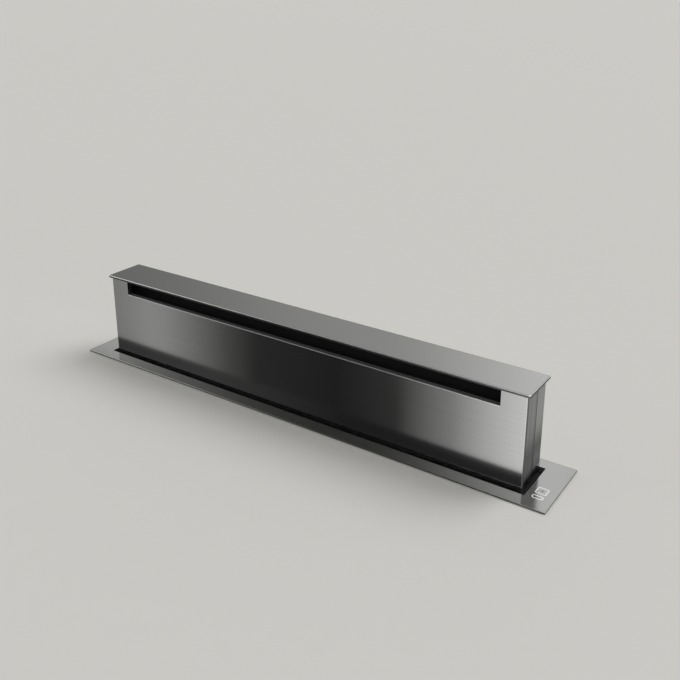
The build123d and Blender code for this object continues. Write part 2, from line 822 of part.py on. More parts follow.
with BuildPart() as lift_motor:
    rod((motor_end - motor_length, 0, gearbox_z), motor_length, motor_radius, ALONG_X)
    fillet(lift_motor.edges().filter_by(GeomType.CIRCLE), 2.0)
    rod((motor_end - motor_length - 5, 0, gearbox_z), 6, motor_radius / 3, ALONG_X)
    for side in (-1, 1):
        back = motor_end - motor_length
        middle = side * terminal_y
        tab_y = (middle - terminal_sheet / 2, middle + terminal_sheet / 2)
        tab_z = (gearbox_z - terminal_width / 2, gearbox_z + terminal_width / 2)
        slab((back - terminal_length, back + terminal_sheet), tab_y, tab_z)
save(lift_motor.part, "lift_motor")

with BuildPart() as motor_bracket:
    plate_x = (gearbox_face, gearbox_face + bracket_sheet)
    plate_z = (gearbox_z - gearbox_radius - 4, motor_pinion_z + 15)
    slab(plate_x, (-gearbox_radius - 2, housing_y), plate_z)
    slab((plate_x[0], plate_x[1] + bracket_foot), (housing_y - bracket_sheet, housing_y), plate_z)
    nose_start = (gearbox_face - bracket_sheet, 0, motor_pinion_z)
    rod(nose_start, 3 * bracket_sheet, stub_radius + gearbox_nose, ALONG_X, Mode.SUBTRACT)
save(motor_bracket.part, "motor_bracket")

# ---- blower -----------------------------------------------------------------------------------

with BuildPart() as blower_box:
    slab((-blower_x, blower_x), (blower_front + sheet, blower_back), (housing_bottom, blower_top))
    inner_x = (sheet - blower_x, blower_x - sheet)
    inner_z = (housing_bottom + sheet, blower_top - sheet)
    slab(inner_x, (blower_front + 2 * sheet, blower_back - sheet), inner_z, Mode.SUBTRACT)
    for lip, mouth_y in ((flange_width, (blower_front, duct_y)), (flange_width / 2, (duct_y, blower_back))):
        mouth_z = (housing_bottom + lip, blower_top - lip)
        slab((lip - blower_x, blower_x - lip), mouth_y, mouth_z, Mode.SUBTRACT)
    rod((collar_x - sheet, duct_y, duct_z), 3 * sheet, tube_bore, ALONG_X, Mode.SUBTRACT)
    for screw_x, screw_up in cover_screws:
        screw_hole((screw_x, blower_front + sheet, scroll_z + screw_up), ALONG_MINUS_Y)
    for hole_y, hole_z in collar_screws:
        screw_hole((collar_x, duct_y + hole_y, duct_z + hole_z), ALONG_X)
save(blower_box.part, "blower_box")

with BuildPart() as blower_cover:
    slab((-blower_x, blower_x), (blower_front, blower_front + sheet), (housing_bottom, blower_top))
    for screw_x, screw_up in cover_screws:
        screw_hole((screw_x, blower_front, scroll_z + screw_up), ALONG_MINUS_Y)
save(blower_cover.part, "blower_cover")

with BuildPart() as scroll_shell:
    with BuildSketch(Plane.XZ.offset(-blower_back + scroll_sheet)):
        with BuildLine():
            scroll_outline()
        make_face()
        offset(amount=scroll_sheet, kind=Kind.INTERSECTION)
    extrude(amount=scroll_depth - scroll_sheet)
    with BuildSketch(Plane.XZ.offset(-blower_back + scroll_sheet)):
        with BuildLine():
            scroll_outline()
        make_face()
    extrude(amount=scroll_depth - 2 * scroll_sheet, mode=Mode.SUBTRACT)
    beyond = (-blower_x, -outlet_reach)
    slab(beyond, (scroll_front - 1, blower_back), (housing_bottom, blower_top), Mode.SUBTRACT)
    shaft_hole = shaft_radius + 2 * sheet
    rod((0, impeller_back, scroll_z), impeller_gap + sheet, shaft_hole, ALONG_MINUS_Y, Mode.SUBTRACT)
save(scroll_shell.part, "scroll_shell")

with BuildPart() as inlet_plate:
    with BuildSketch(Plane.XZ.offset(-blower_back)):
        with BuildLine():
            scroll_outline()
        make_face()
        offset(amount=scroll_sheet, kind=Kind.INTERSECTION)
        with Locations((0, scroll_z)):
            Circle(inlet_radius, mode=Mode.SUBTRACT)
    extrude(amount=scroll_sheet)
    beyond = (-blower_x, -outlet_reach)
    slab(beyond, (scroll_front - 1, blower_back), (housing_bottom, blower_top), Mode.SUBTRACT)
    with BuildSketch(Plane.YZ) as mouth:
        with BuildLine():
            edge = (blower_back, scroll_z + inlet_radius + scroll_sheet)
            middle_y = blower_back - scroll_sheet - mouth_radius
            Line((blower_back, scroll_z + inlet_radius), edge)
            Line(edge, (blower_back - scroll_sheet, edge[1]))
            lip = (middle_y, scroll_z + inlet_radius - mouth_radius + scroll_sheet)
            RadiusArc((blower_back - scroll_sheet, edge[1]), lip, -mouth_radius)
            Line(lip, (middle_y, lip[1] - scroll_sheet))
            inner = (middle_y, lip[1] - scroll_sheet)
            RadiusArc(inner, (blower_back, scroll_z + inlet_radius), mouth_radius + scroll_sheet)
        make_face()
    revolve(axis=Axis((0, 0, scroll_z), (0, 1, 0)))
save(inlet_plate.part, "inlet_plate")

with BuildPart() as outlet_transition:
    for grow, mode in ((scroll_sheet, Mode.ADD), (0.0, Mode.SUBTRACT)):
        middle_y = blower_back - scroll_depth / 2
        middle_z = (outlet_top + outlet_bottom) / 2
        with BuildSketch(Plane.YZ.offset(-outlet_reach)) as square_end:
            with Locations((middle_y, middle_z)):
                size_y = scroll_depth - 2 * (scroll_sheet - grow)
                Rectangle(size_y, outlet_top - outlet_bottom + 2 * grow)
        with BuildSketch(Plane.YZ.offset(collar_x + sheet)) as round_end:
            with Locations((duct_y, duct_z)):
                Circle(tube_bore + grow)
        loft(sections=[square_end.sketch, round_end.sketch], mode=mode)
save(outlet_transition.part, "outlet_transition")

with BuildPart() as impeller:
    hub_radius = 3 * shaft_radius
    rod((0, impeller_back + impeller_sheet, scroll_z), impeller_sheet, impeller_radius, ALONG_MINUS_Y)
    rod((0, impeller_back + impeller_hub, scroll_z), impeller_hub, hub_radius, ALONG_MINUS_Y)
    with BuildSketch(Plane.XZ.offset(-impeller_back - impeller_depth)) as inlet_ring:
        with Locations((0, scroll_z)):
            Circle(impeller_radius)
            Circle(impeller_radius - blade_chord / 2, mode=Mode.SUBTRACT)
    extrude(amount=impeller_sheet)
    with BuildSketch(Plane.XZ.offset(-impeller_back - impeller_depth)) as blades:
        with Locations((0, scroll_z)):
            with PolarLocations(impeller_radius - blade_chord / 2, blade_count):
                Rectangle(blade_chord, blade_sheet, rotation=blade_lean)
    extrude(amount=impeller_depth)
    rod((0, impeller_back + impeller_hub, scroll_z), impeller_hub, shaft_radius, ALONG_MINUS_Y, Mode.SUBTRACT)
save(impeller.part, "impeller")

with BuildPart() as motor_shaft:
    shaft_start = blower_back - fan_shaft_reach
    shaft_length = shaft_start - scroll_front + fan_motor_length - fan_motor_room / 2
    rod((0, shaft_start, scroll_z), shaft_length, shaft_radius, ALONG_MINUS_Y)
save(motor_shaft.part, "motor_shaft")

with BuildPart() as fan_motor:
    rod((0, scroll_front, scroll_z), fan_motor_length, fan_motor_radius, ALONG_MINUS_Y)
    fillet(fan_motor.faces().sort_by(Axis.Y)[0].edges(), fan_motor_edge)
    rod((0, scroll_front, scroll_z), impeller_sheet, fan_motor_radius + fan_motor_rim, ALONG_MINUS_Y)
    rod((0, scroll_front - fan_motor_edge, scroll_z), fan_motor_length, fan_motor_radius / 3, ALONG_MINUS_Y)
    bore = shaft_radius + running_gap
    rod((0, scroll_front + sheet, scroll_z), fan_motor_length + 2 * sheet, bore, ALONG_MINUS_Y, Mode.SUBTRACT)
save(fan_motor.part, "fan_motor")

with BuildPart() as capacitor:
    can_x = blower_x - can_inset
    can_z = housing_bottom + can_inset
    rod((can_x, blower_back - sheet, can_z), can_rim, can_radius + can_rim, ALONG_MINUS_Y)
    rod((can_x, blower_back - sheet, can_z), can_length, can_radius, ALONG_MINUS_Y)
    fillet(capacitor.faces().sort_by(Axis.Y)[0].edges(), can_rim)
save(capacitor.part, "capacitor")

# ---- duct collar and non-return flaps ---------------------------------------------------------

with BuildPart() as duct_collar:
    half = collar_flange / 2
    flange_x = (collar_x - collar_sheet, collar_x)
    slab(flange_x, (duct_y - half, duct_y + half), (duct_z - half, duct_z + half))
    rod((collar_x - duct_length, duct_y, duct_z), duct_length, duct_radius, ALONG_X)
    mouth = (collar_x - duct_length - sheet, duct_y, duct_z)
    rod(mouth, duct_length + 2 * sheet, tube_bore, ALONG_X, Mode.SUBTRACT)
    seat_x = flap_x + flap_pin_radius + flap_sheet / 2
    with BuildSketch(Plane.YZ.offset(seat_x)) as seat:
        with Locations((duct_y, duct_z)):
            Circle(tube_bore + duct_wall / 2)
            Circle(flap_radius - flap_seat, mode=Mode.SUBTRACT)
    extrude(amount=collar_x - collar_sheet - seat_x)
    pin_foot = (flap_x, duct_y, duct_z - duct_radius - sheet)
    rod(pin_foot, 2 * duct_radius + 2 * sheet, flap_pin_radius, ALONG_Z, Mode.SUBTRACT)
    for hole_y, hole_z in collar_screws:
        screw_hole((collar_x, duct_y + hole_y, duct_z + hole_z), ALONG_X)
save(duct_collar.part, "duct_collar")

with BuildPart() as flap_pin:
    rod((flap_x, duct_y, duct_z - duct_radius), 2 * duct_radius, flap_pin_radius, ALONG_Z)
save(flap_pin.part, "flap_pin")


def flap(side, barrels):
    """A half-round flap on side -1 or 1 of the pin, with its hinge barrels."""
    face_x = flap_x + flap_pin_radius - 2 * flap_sheet / 3
    with BuildPart() as half:
        with BuildSketch(Plane.YZ.offset(face_x)):
            with Locations((duct_y, duct_z)):
                Circle(flap_radius)
            with Locations((duct_y - side * flap_radius, duct_z)):
                Rectangle(2 * flap_radius + 2 * flap_root, 3 * flap_radius, mode=Mode.SUBTRACT)
        extrude(amount=flap_sheet)
        for low, high in barrels:
            rod((flap_x, duct_y, duct_z + low), high - low, flap_knuckle, ALONG_Z)
            tab_y = sorted((duct_y, duct_y + side * (flap_root + flap_sheet)))
            slab((face_x, face_x + flap_sheet), tab_y, (duct_z + low, duct_z + high))
        bore = flap_pin_radius + flap_pin_gap
        rod((flap_x, duct_y, duct_z - flap_radius), 2 * flap_radius, bore, ALONG_Z, Mode.SUBTRACT)
    return half.part


outer = barrel_split + barrel_gap
inner = barrel_split - barrel_gap
save(flap(-1, [(-barrel_end, -outer), (outer, barrel_end)]), "flap_front")
save(flap(1, [(-inner, inner)]), "flap_rear")

# ---- controls ---------------------------------------------------------------------------------

with BuildPart() as control_box:
    slab((control_x, control_right), (control_front, blower_back), (control_bottom, control_top))
    wall = control_wall
    room = (control_x + wall, control_right - wall)
    room_z = (control_bottom + wall, control_top - wall)
    slab(room, (control_front, blower_back - wall), room_z, Mode.SUBTRACT)
    inset = control_post_inset
    for post_x in (room[0] + inset, room[1] - inset):
        for post_z in (room_z[0] + inset, room_z[1] - inset):
            rod((post_x, blower_back - wall, post_z), control_standoff, control_post, ALONG_MINUS_Y)
    rod((gland_x, gland_y, control_bottom - wall), 3 * wall, gland_radius, ALONG_Z, Mode.SUBTRACT)
save(control_box.part, "control_box")

with BuildPart() as control_cover:
    slab((control_x, control_right), (control_front - wall, control_front), (control_bottom, control_top))
    fillet(control_cover.edges().filter_by(Axis.Y), control_corner)
save(control_cover.part, "control_cover")

with BuildPart() as control_board:
    board_y = blower_back - wall - control_standoff
    board_x = (room[0] + sheet, room[1] - sheet)
    slab(board_x, (board_y - board_thickness, board_y), (room_z[0] + sheet, room_z[1] - sheet))
    parts_y = board_y - board_thickness
    transformer = (60.0, 95.0, 36.0, 30.0, 24.0)
    fuse = (20.0, 100.0, 18.0, 22.0, 15.0)
    relay = (110.0, 100.0, 24.0, 18.0, 16.0)
    heat_sink = (112.0, 60.0, 20.0, 34.0, 10.0)
    terminals = (60.0, 24.0, 60.0, 14.0, 12.0)
    for part_x, part_z, long, tall, deep in (transformer, fuse, relay, heat_sink, terminals):
        low_x = control_x + part_x
        low_z = control_bottom + part_z - 10
        slab((low_x, low_x + long), (parts_y - deep, parts_y), (low_z, low_z + tall))
save(control_board.part, "control_board")

with BuildPart() as mains_gland:
    gland_length = gland_outside + wall + gland_inside
    gland_start = (gland_x, gland_y, control_bottom - gland_outside)
    rod(gland_start, gland_length, gland_radius, ALONG_Z)
    outer_nut = (control_bottom - gland_inside, gland_inside)
    inner_nut = (control_bottom + wall, gland_nut)
    for nut_low, nut_height in (outer_nut, inner_nut):
        with BuildSketch(Plane.XY.offset(nut_low)):
            with Locations((gland_x, gland_y)):
                RegularPolygon(gland_radius + gland_nut, 6)
        extrude(amount=nut_height)
    rod(gland_start, gland_length, gland_bore, ALONG_Z, Mode.SUBTRACT)
save(mains_gland.part, "mains_gland")

# the touch lead runs down the housing's right end, round its front corner and into the control box
lead_x = housing_width / 2 + lead_standoff
lead_span = lead_x - control_right
lead_route = [
    (lead_x, touch_y, touch_bottom),
    (lead_x, touch_y, touch_bottom - 44),
    (lead_x + 0.6, touch_y - 4, touch_bottom - 84),
    (lead_x + 1.2, touch_y - 16, touch_bottom - 126),
    (lead_x + 1.2, touch_y - 34, touch_bottom - 166),
    (lead_x - 0.16 * lead_span, gland_y + 3, touch_bottom - 204),
    (lead_x - 0.46 * lead_span, gland_y, touch_bottom - 226),
    (lead_x - 0.72 * lead_span, gland_y, touch_bottom - 232),
    (control_right, gland_y, touch_bottom - 232),
]


def corner_radii(points):
    """The largest arc at each corner of a route that its two runs leave room for."""
    corners = [Vector(*point) for point in points]
    radii = []
    for before, here, after in zip(corners, corners[1:], corners[2:]):
        turn = radians((here - before).get_angle(after - here))
        shorter = min((here - before).length, (after - here).length)
        radii.append(0.45 * shorter / tan(turn / 2))
    return radii


lead_radii = corner_radii(lead_route)
print("touch lead arcs:", [round(radius, 1) for radius in lead_radii])

with BuildPart() as touch_lead:
    with BuildLine() as lead_path:
        FilletPolyline(*lead_route, radius=lead_radii)
    with BuildSketch(Plane(lead_path.line @ 0, z_dir=lead_path.line % 0)):
        Circle(lead_radius)
    sweep()
lead_length = sum(edge.length for edge in lead_path.edges())
lead_section = pi * lead_radius**2
print("touch lead length:", round(lead_length, 1))
print("volume over section times length:", round(touch_lead.part.volume / lead_section / lead_length, 4))
save(touch_lead.part, "touch_lead")

with BuildPart() as lead_clips:
    for clip_z in (touch_bottom - 7, touch_bottom - 20):
        clip_x = (housing_width / 2, lead_x + lead_radius + clip_wall)
        clip_y = (touch_y - lead_radius - clip_wall, touch_y + lead_radius + clip_wall)
        slab(clip_x, clip_y, (clip_z - clip_width / 2, clip_z + clip_width / 2))
    first_run = lead_route[0][2] - lead_route[1][2]
    rod((lead_x, touch_y, touch_bottom - first_run), first_run, lead_radius, ALONG_Z, Mode.SUBTRACT)
save(lead_clips.part, "lead_clips")

# ---- brackets and screws ----------------------------------------------------------------------

end_x = housing_width / 2
foot_mid_x = end_x + foot_sheet + foot_reach / 2

with BuildPart() as base_brackets:
    for side in (-1, 1):
        leg_x = sorted((side * end_x, side * (end_x + foot_sheet)))
        foot_x = sorted((side * end_x, side * (end_x + foot_sheet + foot_reach)))
        foot_y = (-foot_width / 2, foot_width / 2)
        slab(leg_x, foot_y, (housing_bottom, housing_bottom + foot_height))
        slab(foot_x, foot_y, (housing_bottom, housing_bottom + foot_sheet))
    with BuildSketch(Plane.XY.offset(housing_bottom)):
        with GridLocations(2 * foot_mid_x, foot_slot_spacing, 2, 2):
            SlotOverall(foot_slot_length, 2 * foot_slot_radius)
    extrude(amount=foot_sheet, mode=Mode.SUBTRACT)
save(base_brackets.part, "base_brackets")

face = housing_y + sheet

with BuildPart() as clamp_brackets:
    for side_x in (-clamp_x, clamp_x):
        for side in (-1, 1):
            wide = (side_x - clamp_width / 2, side_x + clamp_width / 2)
            upright_y = sorted((side * face, side * (face + foot_sheet)))
            slab(wide, upright_y, (clamp_top - clamp_height, clamp_top))
            reach_y = sorted((side * face, side * (face + clamp_reach)))
            slab(wide, reach_y, (clamp_top - foot_sheet, clamp_top))
            hole = (side_x, side * (face + clamp_reach - clamp_screw_inset), clamp_top - 2 * foot_sheet)
            rod(hole, 3 * foot_sheet, clamp_screw_radius, ALONG_Z, Mode.SUBTRACT)
save(clamp_brackets.part, "clamp_brackets")

with BuildPart() as clamp_screws:
    for side_x in (-clamp_x, clamp_x):
        for side in (-1, 1):
            screw_y = side * (face + clamp_reach - clamp_screw_inset)
            low = clamp_top - clamp_screw_tail
            rod((side_x, screw_y, low), -worktop_thickness - low, clamp_screw_radius, ALONG_Z)
            pad = (side_x, screw_y, -worktop_thickness - clamp_pad)
            rod(pad, clamp_pad, 3 * clamp_screw_radius, ALONG_Z)
            rod((side_x, screw_y, low), clamp_pad, 2 * clamp_screw_radius, ALONG_Z)
save(clamp_screws.part, "clamp_screws")

with BuildPart() as sheet_screws:
    for screw_x, screw_up in cover_screws:
        screw((screw_x, blower_front, scroll_z + screw_up), (90, 0, 0))
    for screw_z in panel_screw_rows:
        for side in (-1, 1):
            middle = side * (housing_x - flange_width / 2)
            screw((middle, -housing_depth / 2, screw_z), (90, 0, 0))
            screw((middle, housing_depth / 2, screw_z), (-90, 0, 0))
    for hole_y, hole_z in collar_screws:
        screw((collar_x - collar_sheet, duct_y + hole_y, duct_z + hole_z), (0, -90, 0))
save(sheet_screws.part, "sheet_screws")
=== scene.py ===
"""Dresses a retractable worktop extractor: finishes for its sheet metal, its keys, screws and
filters, its lead and a plain studio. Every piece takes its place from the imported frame."""

import math

import bmesh
import bpy
from mathutils import Matrix, Vector


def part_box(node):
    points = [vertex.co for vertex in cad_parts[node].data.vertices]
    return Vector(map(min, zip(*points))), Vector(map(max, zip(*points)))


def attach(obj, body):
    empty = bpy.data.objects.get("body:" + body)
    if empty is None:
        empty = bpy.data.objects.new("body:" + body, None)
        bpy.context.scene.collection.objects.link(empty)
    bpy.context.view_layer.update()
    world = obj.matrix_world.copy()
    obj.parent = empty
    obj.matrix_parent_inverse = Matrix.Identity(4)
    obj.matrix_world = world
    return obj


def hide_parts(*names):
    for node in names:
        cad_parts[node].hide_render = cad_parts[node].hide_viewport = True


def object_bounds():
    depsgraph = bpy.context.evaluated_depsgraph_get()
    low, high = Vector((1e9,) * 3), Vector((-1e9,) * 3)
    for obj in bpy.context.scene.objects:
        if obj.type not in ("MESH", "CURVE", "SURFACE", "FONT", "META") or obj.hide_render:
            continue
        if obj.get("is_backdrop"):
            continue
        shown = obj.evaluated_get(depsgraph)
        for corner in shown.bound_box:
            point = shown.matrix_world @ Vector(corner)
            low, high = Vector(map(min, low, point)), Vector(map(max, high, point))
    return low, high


bl_info = {
    "name": "Worktop Extractor Dressing",
    "version": (1, 0, 0),
    "blender": (4, 5, 0),
    "location": "View3D > Sidebar > Extractor",
    "description": "Finishes and fine pieces for a retractable worktop extractor",
    "category": "Object",
}

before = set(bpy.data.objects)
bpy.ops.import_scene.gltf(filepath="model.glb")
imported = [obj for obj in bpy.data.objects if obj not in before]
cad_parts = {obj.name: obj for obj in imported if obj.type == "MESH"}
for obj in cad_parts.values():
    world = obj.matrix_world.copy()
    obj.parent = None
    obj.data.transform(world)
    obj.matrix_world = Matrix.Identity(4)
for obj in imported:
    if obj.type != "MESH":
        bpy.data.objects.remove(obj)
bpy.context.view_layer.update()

MM = 0.001
DEPTHWISE = (0, 1, 0)
UPWARDS = (0, 0, 1)


# ---- colours, nodes and objects ---------------------------------------------------------------


def linear(code):
    """The linear colour of an sRGB hex value."""
    parts = [int(code[i : i + 2], 16) / 255 for i in (1, 3, 5)]
    return tuple(c / 12.92 if c <= 0.04045 else ((c + 0.055) / 1.055) ** 2.4 for c in parts)


def shaded(colour, factor=1.0):
    """This colour made lighter or darker by a factor, as a colour socket takes it."""
    return (*(min(1.0, c * factor) for c in colour[:3]), 1.0)


def add(tree, kind, links=(), inputs=(), **settings):
    """A new node of a tree, with its settings, its plain input values and the sockets that feed it."""
    made = tree.nodes.new(kind)
    for key, value in settings.items():
        setattr(made, key, value)
    for key, value in dict(inputs).items():
        made.inputs[key].default_value = value
    for key, source in dict(links).items():
        tree.links.new(source, made.inputs[key])
    return made


def new_material(name):
    """An empty node material of this name, and its tree."""
    material = bpy.data.materials.new(name)
    material.use_nodes = True
    material.node_tree.nodes.clear()
    return material, material.node_tree


def close_material(tree, shader):
    """Ends a material's tree in its output."""
    add(tree, "ShaderNodeOutputMaterial", {"Surface": shader.outputs[0]})


def pattern_space(tree, size):
    """Object coordinates divided by a pattern's size in millimetres along each axis."""
    where = add(tree, "ShaderNodeTexCoord")
    scale = {"Scale": [1 / (s * MM) for s in size]}
    return add(tree, "ShaderNodeMapping", {"Vector": where.outputs["Object"]}, scale).outputs[0]


def new_object(name, data):
    """An object in the scene, at the origin."""
    made = bpy.data.objects.new(name, data)
    bpy.context.scene.collection.objects.link(made)
    return made


def mesh_piece(name, build):
    """An object whose mesh a builder function fills, with its faces pointing outwards."""
    shape = bmesh.new()
    build(shape)
    bmesh.ops.recalc_face_normals(shape, faces=shape.faces)
    mesh = bpy.data.meshes.new(name)
    shape.to_mesh(mesh)
    shape.free()
    return new_object(name, mesh)


def ride_and_finish(piece, body, material=None):
    """Puts a finished piece on its body and names the finish that it takes."""
    if material:
        piece.data.materials.clear()
        piece.data.materials.append(material)
    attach(piece, body)


def clothe(material, *nodes):
    """Gives CAD nodes a finish."""
    for name in nodes:
        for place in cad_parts[name].material_slots:
            place.material = material


# ---- finishes ---------------------------------------------------------------------------------

STREAK = 3.2  # how many times as large as a scratch a broad streak is
SCRATCH_DEPTH = 0.012 * MM
CUT_ROUGHNESS = 0.42
# in millimetres: a zinc crystal, the frost on it, the clouding of a plain finish and an ink's grain
CRYSTAL, FROST, CLOUD, INK = 9, 2.5, 60, 2
# a Mix node's sockets go by number: 2 and 3 are A and B for numbers, 6 and 7 are A and B for colours


def belt_scratches(tree, grain):
    """A 0 to 1 pattern of fine scratches and broader streaks. Grain is the size of a scratch in
    millimetres along each axis."""
    fine = {"Scale": 1.0, "Detail": 3.0, "Roughness": 0.6}
    broad = {"Scale": 1.0, "Detail": 2.0}
    streaks = pattern_space(tree, [STREAK * g for g in grain])
    scratch = add(tree, "ShaderNodeTexNoise", {"Vector": pattern_space(tree, grain)}, fine)
    streak = add(tree, "ShaderNodeTexNoise", {"Vector": streaks}, broad)
    both = add(tree, "ShaderNodeMath", {0: scratch.outputs[0], 1: streak.outputs[0]}, operation="ADD")
    middle = {"From Min": 0.7, "From Max": 1.3}
    return add(tree, "ShaderNodeMapRange", {"Value": both.outputs[0]}, middle).outputs["Result"]


def painted_edge_light(tree, face, colour, tone, dull, arris_highlight, cut):
    """The tone and dullness of a sheet whose faces look along one axis: its rounded arrises get a
    painted highlight, one share of the colour, and its cut edges painted shade, another share, and a duller
    surface."""
    shape = add(tree, "ShaderNodeNewGeometry").outputs["True Normal"]
    facing = add(tree, "ShaderNodeVectorMath", {0: shape}, {1: face}, operation="DOT_PRODUCT")
    square = add(tree, "ShaderNodeMath", {0: facing.outputs["Value"]}, operation="ABSOLUTE").outputs[0]
    past_cut = {"From Min": 0.2, "From Max": 0.5}
    past_arris = {"From Min": 0.9, "From Max": 0.99}
    on_sheet = add(tree, "ShaderNodeMapRange", {"Value": square}, past_cut).outputs["Result"]
    on_face = add(tree, "ShaderNodeMapRange", {"Value": square}, past_arris).outputs["Result"]
    # painted highlight: the rounded arrises take the arris share of the colour
    edge_highlight = {6: shaded(colour, arris_highlight)}
    bright = add(tree, "ShaderNodeMix", {0: on_face, 7: tone}, edge_highlight, data_type="RGBA").outputs[2]
    # painted shade: the cut edges take a darker share of the colour
    edge_shade = {6: shaded(colour, cut)}
    tone = add(tree, "ShaderNodeMix", {0: on_sheet, 7: bright}, edge_shade, data_type="RGBA").outputs[2]
    dull = add(tree, "ShaderNodeMix", {0: on_sheet, 3: dull}, {2: CUT_ROUGHNESS}).outputs[0]
    return tone, dull


def brushed_stainless(
    name, colour, grain, tangent, roughness, contrast=0.04, face=None, drawn=0.45, arris_highlight=1.0, cut=0.18
):
    """Stainless sheet drawn under an abrasive belt: long fine scratches along one direction, which
    spread a reflection across the grain and leave it sharp along it. Where the sheet's faces look
    along one axis, its rounded edges get a painted highlight and its cut edges painted shade."""
    material, tree = new_material(name)
    pattern = belt_scratches(tree, grain)
    bump = {"Strength": contrast, "Distance": SCRATCH_DEPTH}
    lift = add(tree, "ShaderNodeBump", {"Height": pattern}, bump)
    direction = add(tree, "ShaderNodeCombineXYZ", inputs=dict(enumerate(tangent)))
    tones = {6: shaded(colour, 1 - contrast), 7: shaded(colour, 1 + contrast)}
    tone = add(tree, "ShaderNodeMix", {"Factor": pattern}, tones, data_type="RGBA").outputs[2]
    swing = min(0.08, 2 * contrast)
    limits = {"To Min": roughness * (1 - swing), "To Max": roughness * (1 + swing)}
    dull = add(tree, "ShaderNodeMapRange", {"Value": pattern}, limits).outputs["Result"]
    # painted highlight on the rounded edges and painted shade on the cut edges
    if face:
        tone, dull = painted_edge_light(tree, face, colour, tone, dull, arris_highlight, cut)
    shader = add(
        tree,
        "ShaderNodeBsdfPrincipled",
        {"Base Color": tone, "Roughness": dull, "Normal": lift.outputs[0], "Tangent": direction.outputs[0]},
        {"Metallic": 1.0, "Anisotropic": drawn},
    )
    close_material(tree, shader)
    return material


def galvanised_sheet(name, colour):
    """Hot-dipped zinc sheet: crystals about 9 mm across, each its own grey and its own dullness."""
    material, tree = new_material(name)
    flakes = pattern_space(tree, (CRYSTAL, CRYSTAL, CRYSTAL))
    crystals = add(tree, "ShaderNodeTexVoronoi", {"Vector": flakes}, {"Scale": 1.0})
    level = add(tree, "ShaderNodeSeparateXYZ", {"Vector": crystals.outputs["Color"]})
    grains = pattern_space(tree, (FROST, FROST, FROST))
    frost = add(tree, "ShaderNodeTexNoise", {"Vector": grains}, {"Scale": 1.0})
    sources = {0: level.outputs["X"], 2: frost.outputs[0]}
    both = add(tree, "ShaderNodeMath", sources, {1: 0.9}, operation="MULTIPLY_ADD")
    half = add(tree, "ShaderNodeMath", {0: both.outputs[0]}, {1: 0.5}, operation="MULTIPLY").outputs[0]
    lift = add(tree, "ShaderNodeBump", {"Height": half}, {"Strength": 0.2, "Distance": 0.02 * MM})
    tones = {6: shaded(colour, 0.78), 7: shaded(colour, 1.2)}
    tone = add(tree, "ShaderNodeMix", {"Factor": half}, tones, data_type="RGBA").outputs[2]
    limits = {"To Min": 0.34, "To Max": 0.5}
    dull = add(tree, "ShaderNodeMapRange", {"Value": level.outputs["Y"]}, limits).outputs["Result"]
    links = {"Base Color": tone, "Roughness": dull, "Normal": lift.outputs[0]}
    close_material(tree, add(tree, "ShaderNodeBsdfPrincipled", links, {"Metallic": 1.0}))
    return material


def plain_finish(name, colour, metallic, roughness, grit, relief, spread=0.12):
    """A finish with one even grain, clouded a little from place to place. Grit is the grain's size
    and relief its height, both in millimetres."""
    material, tree = new_material(name)
    small = pattern_space(tree, (grit, grit, grit))
    grain = add(tree, "ShaderNodeTexNoise", {"Vector": small}, {"Scale": 1.0}).outputs[0]
    large = pattern_space(tree, (CLOUD, CLOUD, CLOUD))
    cloud = add(tree, "ShaderNodeTexNoise", {"Vector": large}, {"Scale": 1.0}).outputs[0]
    lift = add(tree, "ShaderNodeBump", {"Height": grain}, {"Strength": 1.0, "Distance": relief * MM})
    level = add(tree, "ShaderNodeMath", {0: grain, 1: cloud}, operation="MULTIPLY").outputs[0]
    tones = {6: shaded(colour, 1 - spread), 7: shaded(colour, 1 + spread)}
    tone = add(tree, "ShaderNodeMix", {"Factor": level}, tones, data_type="RGBA").outputs[2]
    limits = {"To Min": roughness * 0.85, "To Max": roughness * 1.15}
    dull = add(tree, "ShaderNodeMapRange", {"Value": cloud}, limits).outputs["Result"]
    links = {"Base Color": tone, "Roughness": dull, "Normal": lift.outputs[0]}
    close_material(tree, add(tree, "ShaderNodeBsdfPrincipled", links, {"Metallic": metallic}))
    return material


def lit_print(name, colour, glow):
    """Light showing through clear ink on a touch key: pale, even and slightly glowing."""
    material, tree = new_material(name)
    small = pattern_space(tree, (INK, INK, INK))
    grain = add(tree, "ShaderNodeTexNoise", {"Vector": small}, {"Scale": 1.0}).outputs[0]
    tones = {6: shaded(colour, 0.94), 7: shaded(colour)}
    tone = add(tree, "ShaderNodeMix", {"Factor": grain}, tones, data_type="RGBA").outputs[2]
    links = {"Base Color": tone, "Emission Color": tone}
    values = {"Roughness": 0.5, "Emission Strength": glow}
    close_material(tree, add(tree, "ShaderNodeBsdfPrincipled", links, values))
    return material


# ---- sizes and colours that can be changed ----------------------------------------------------


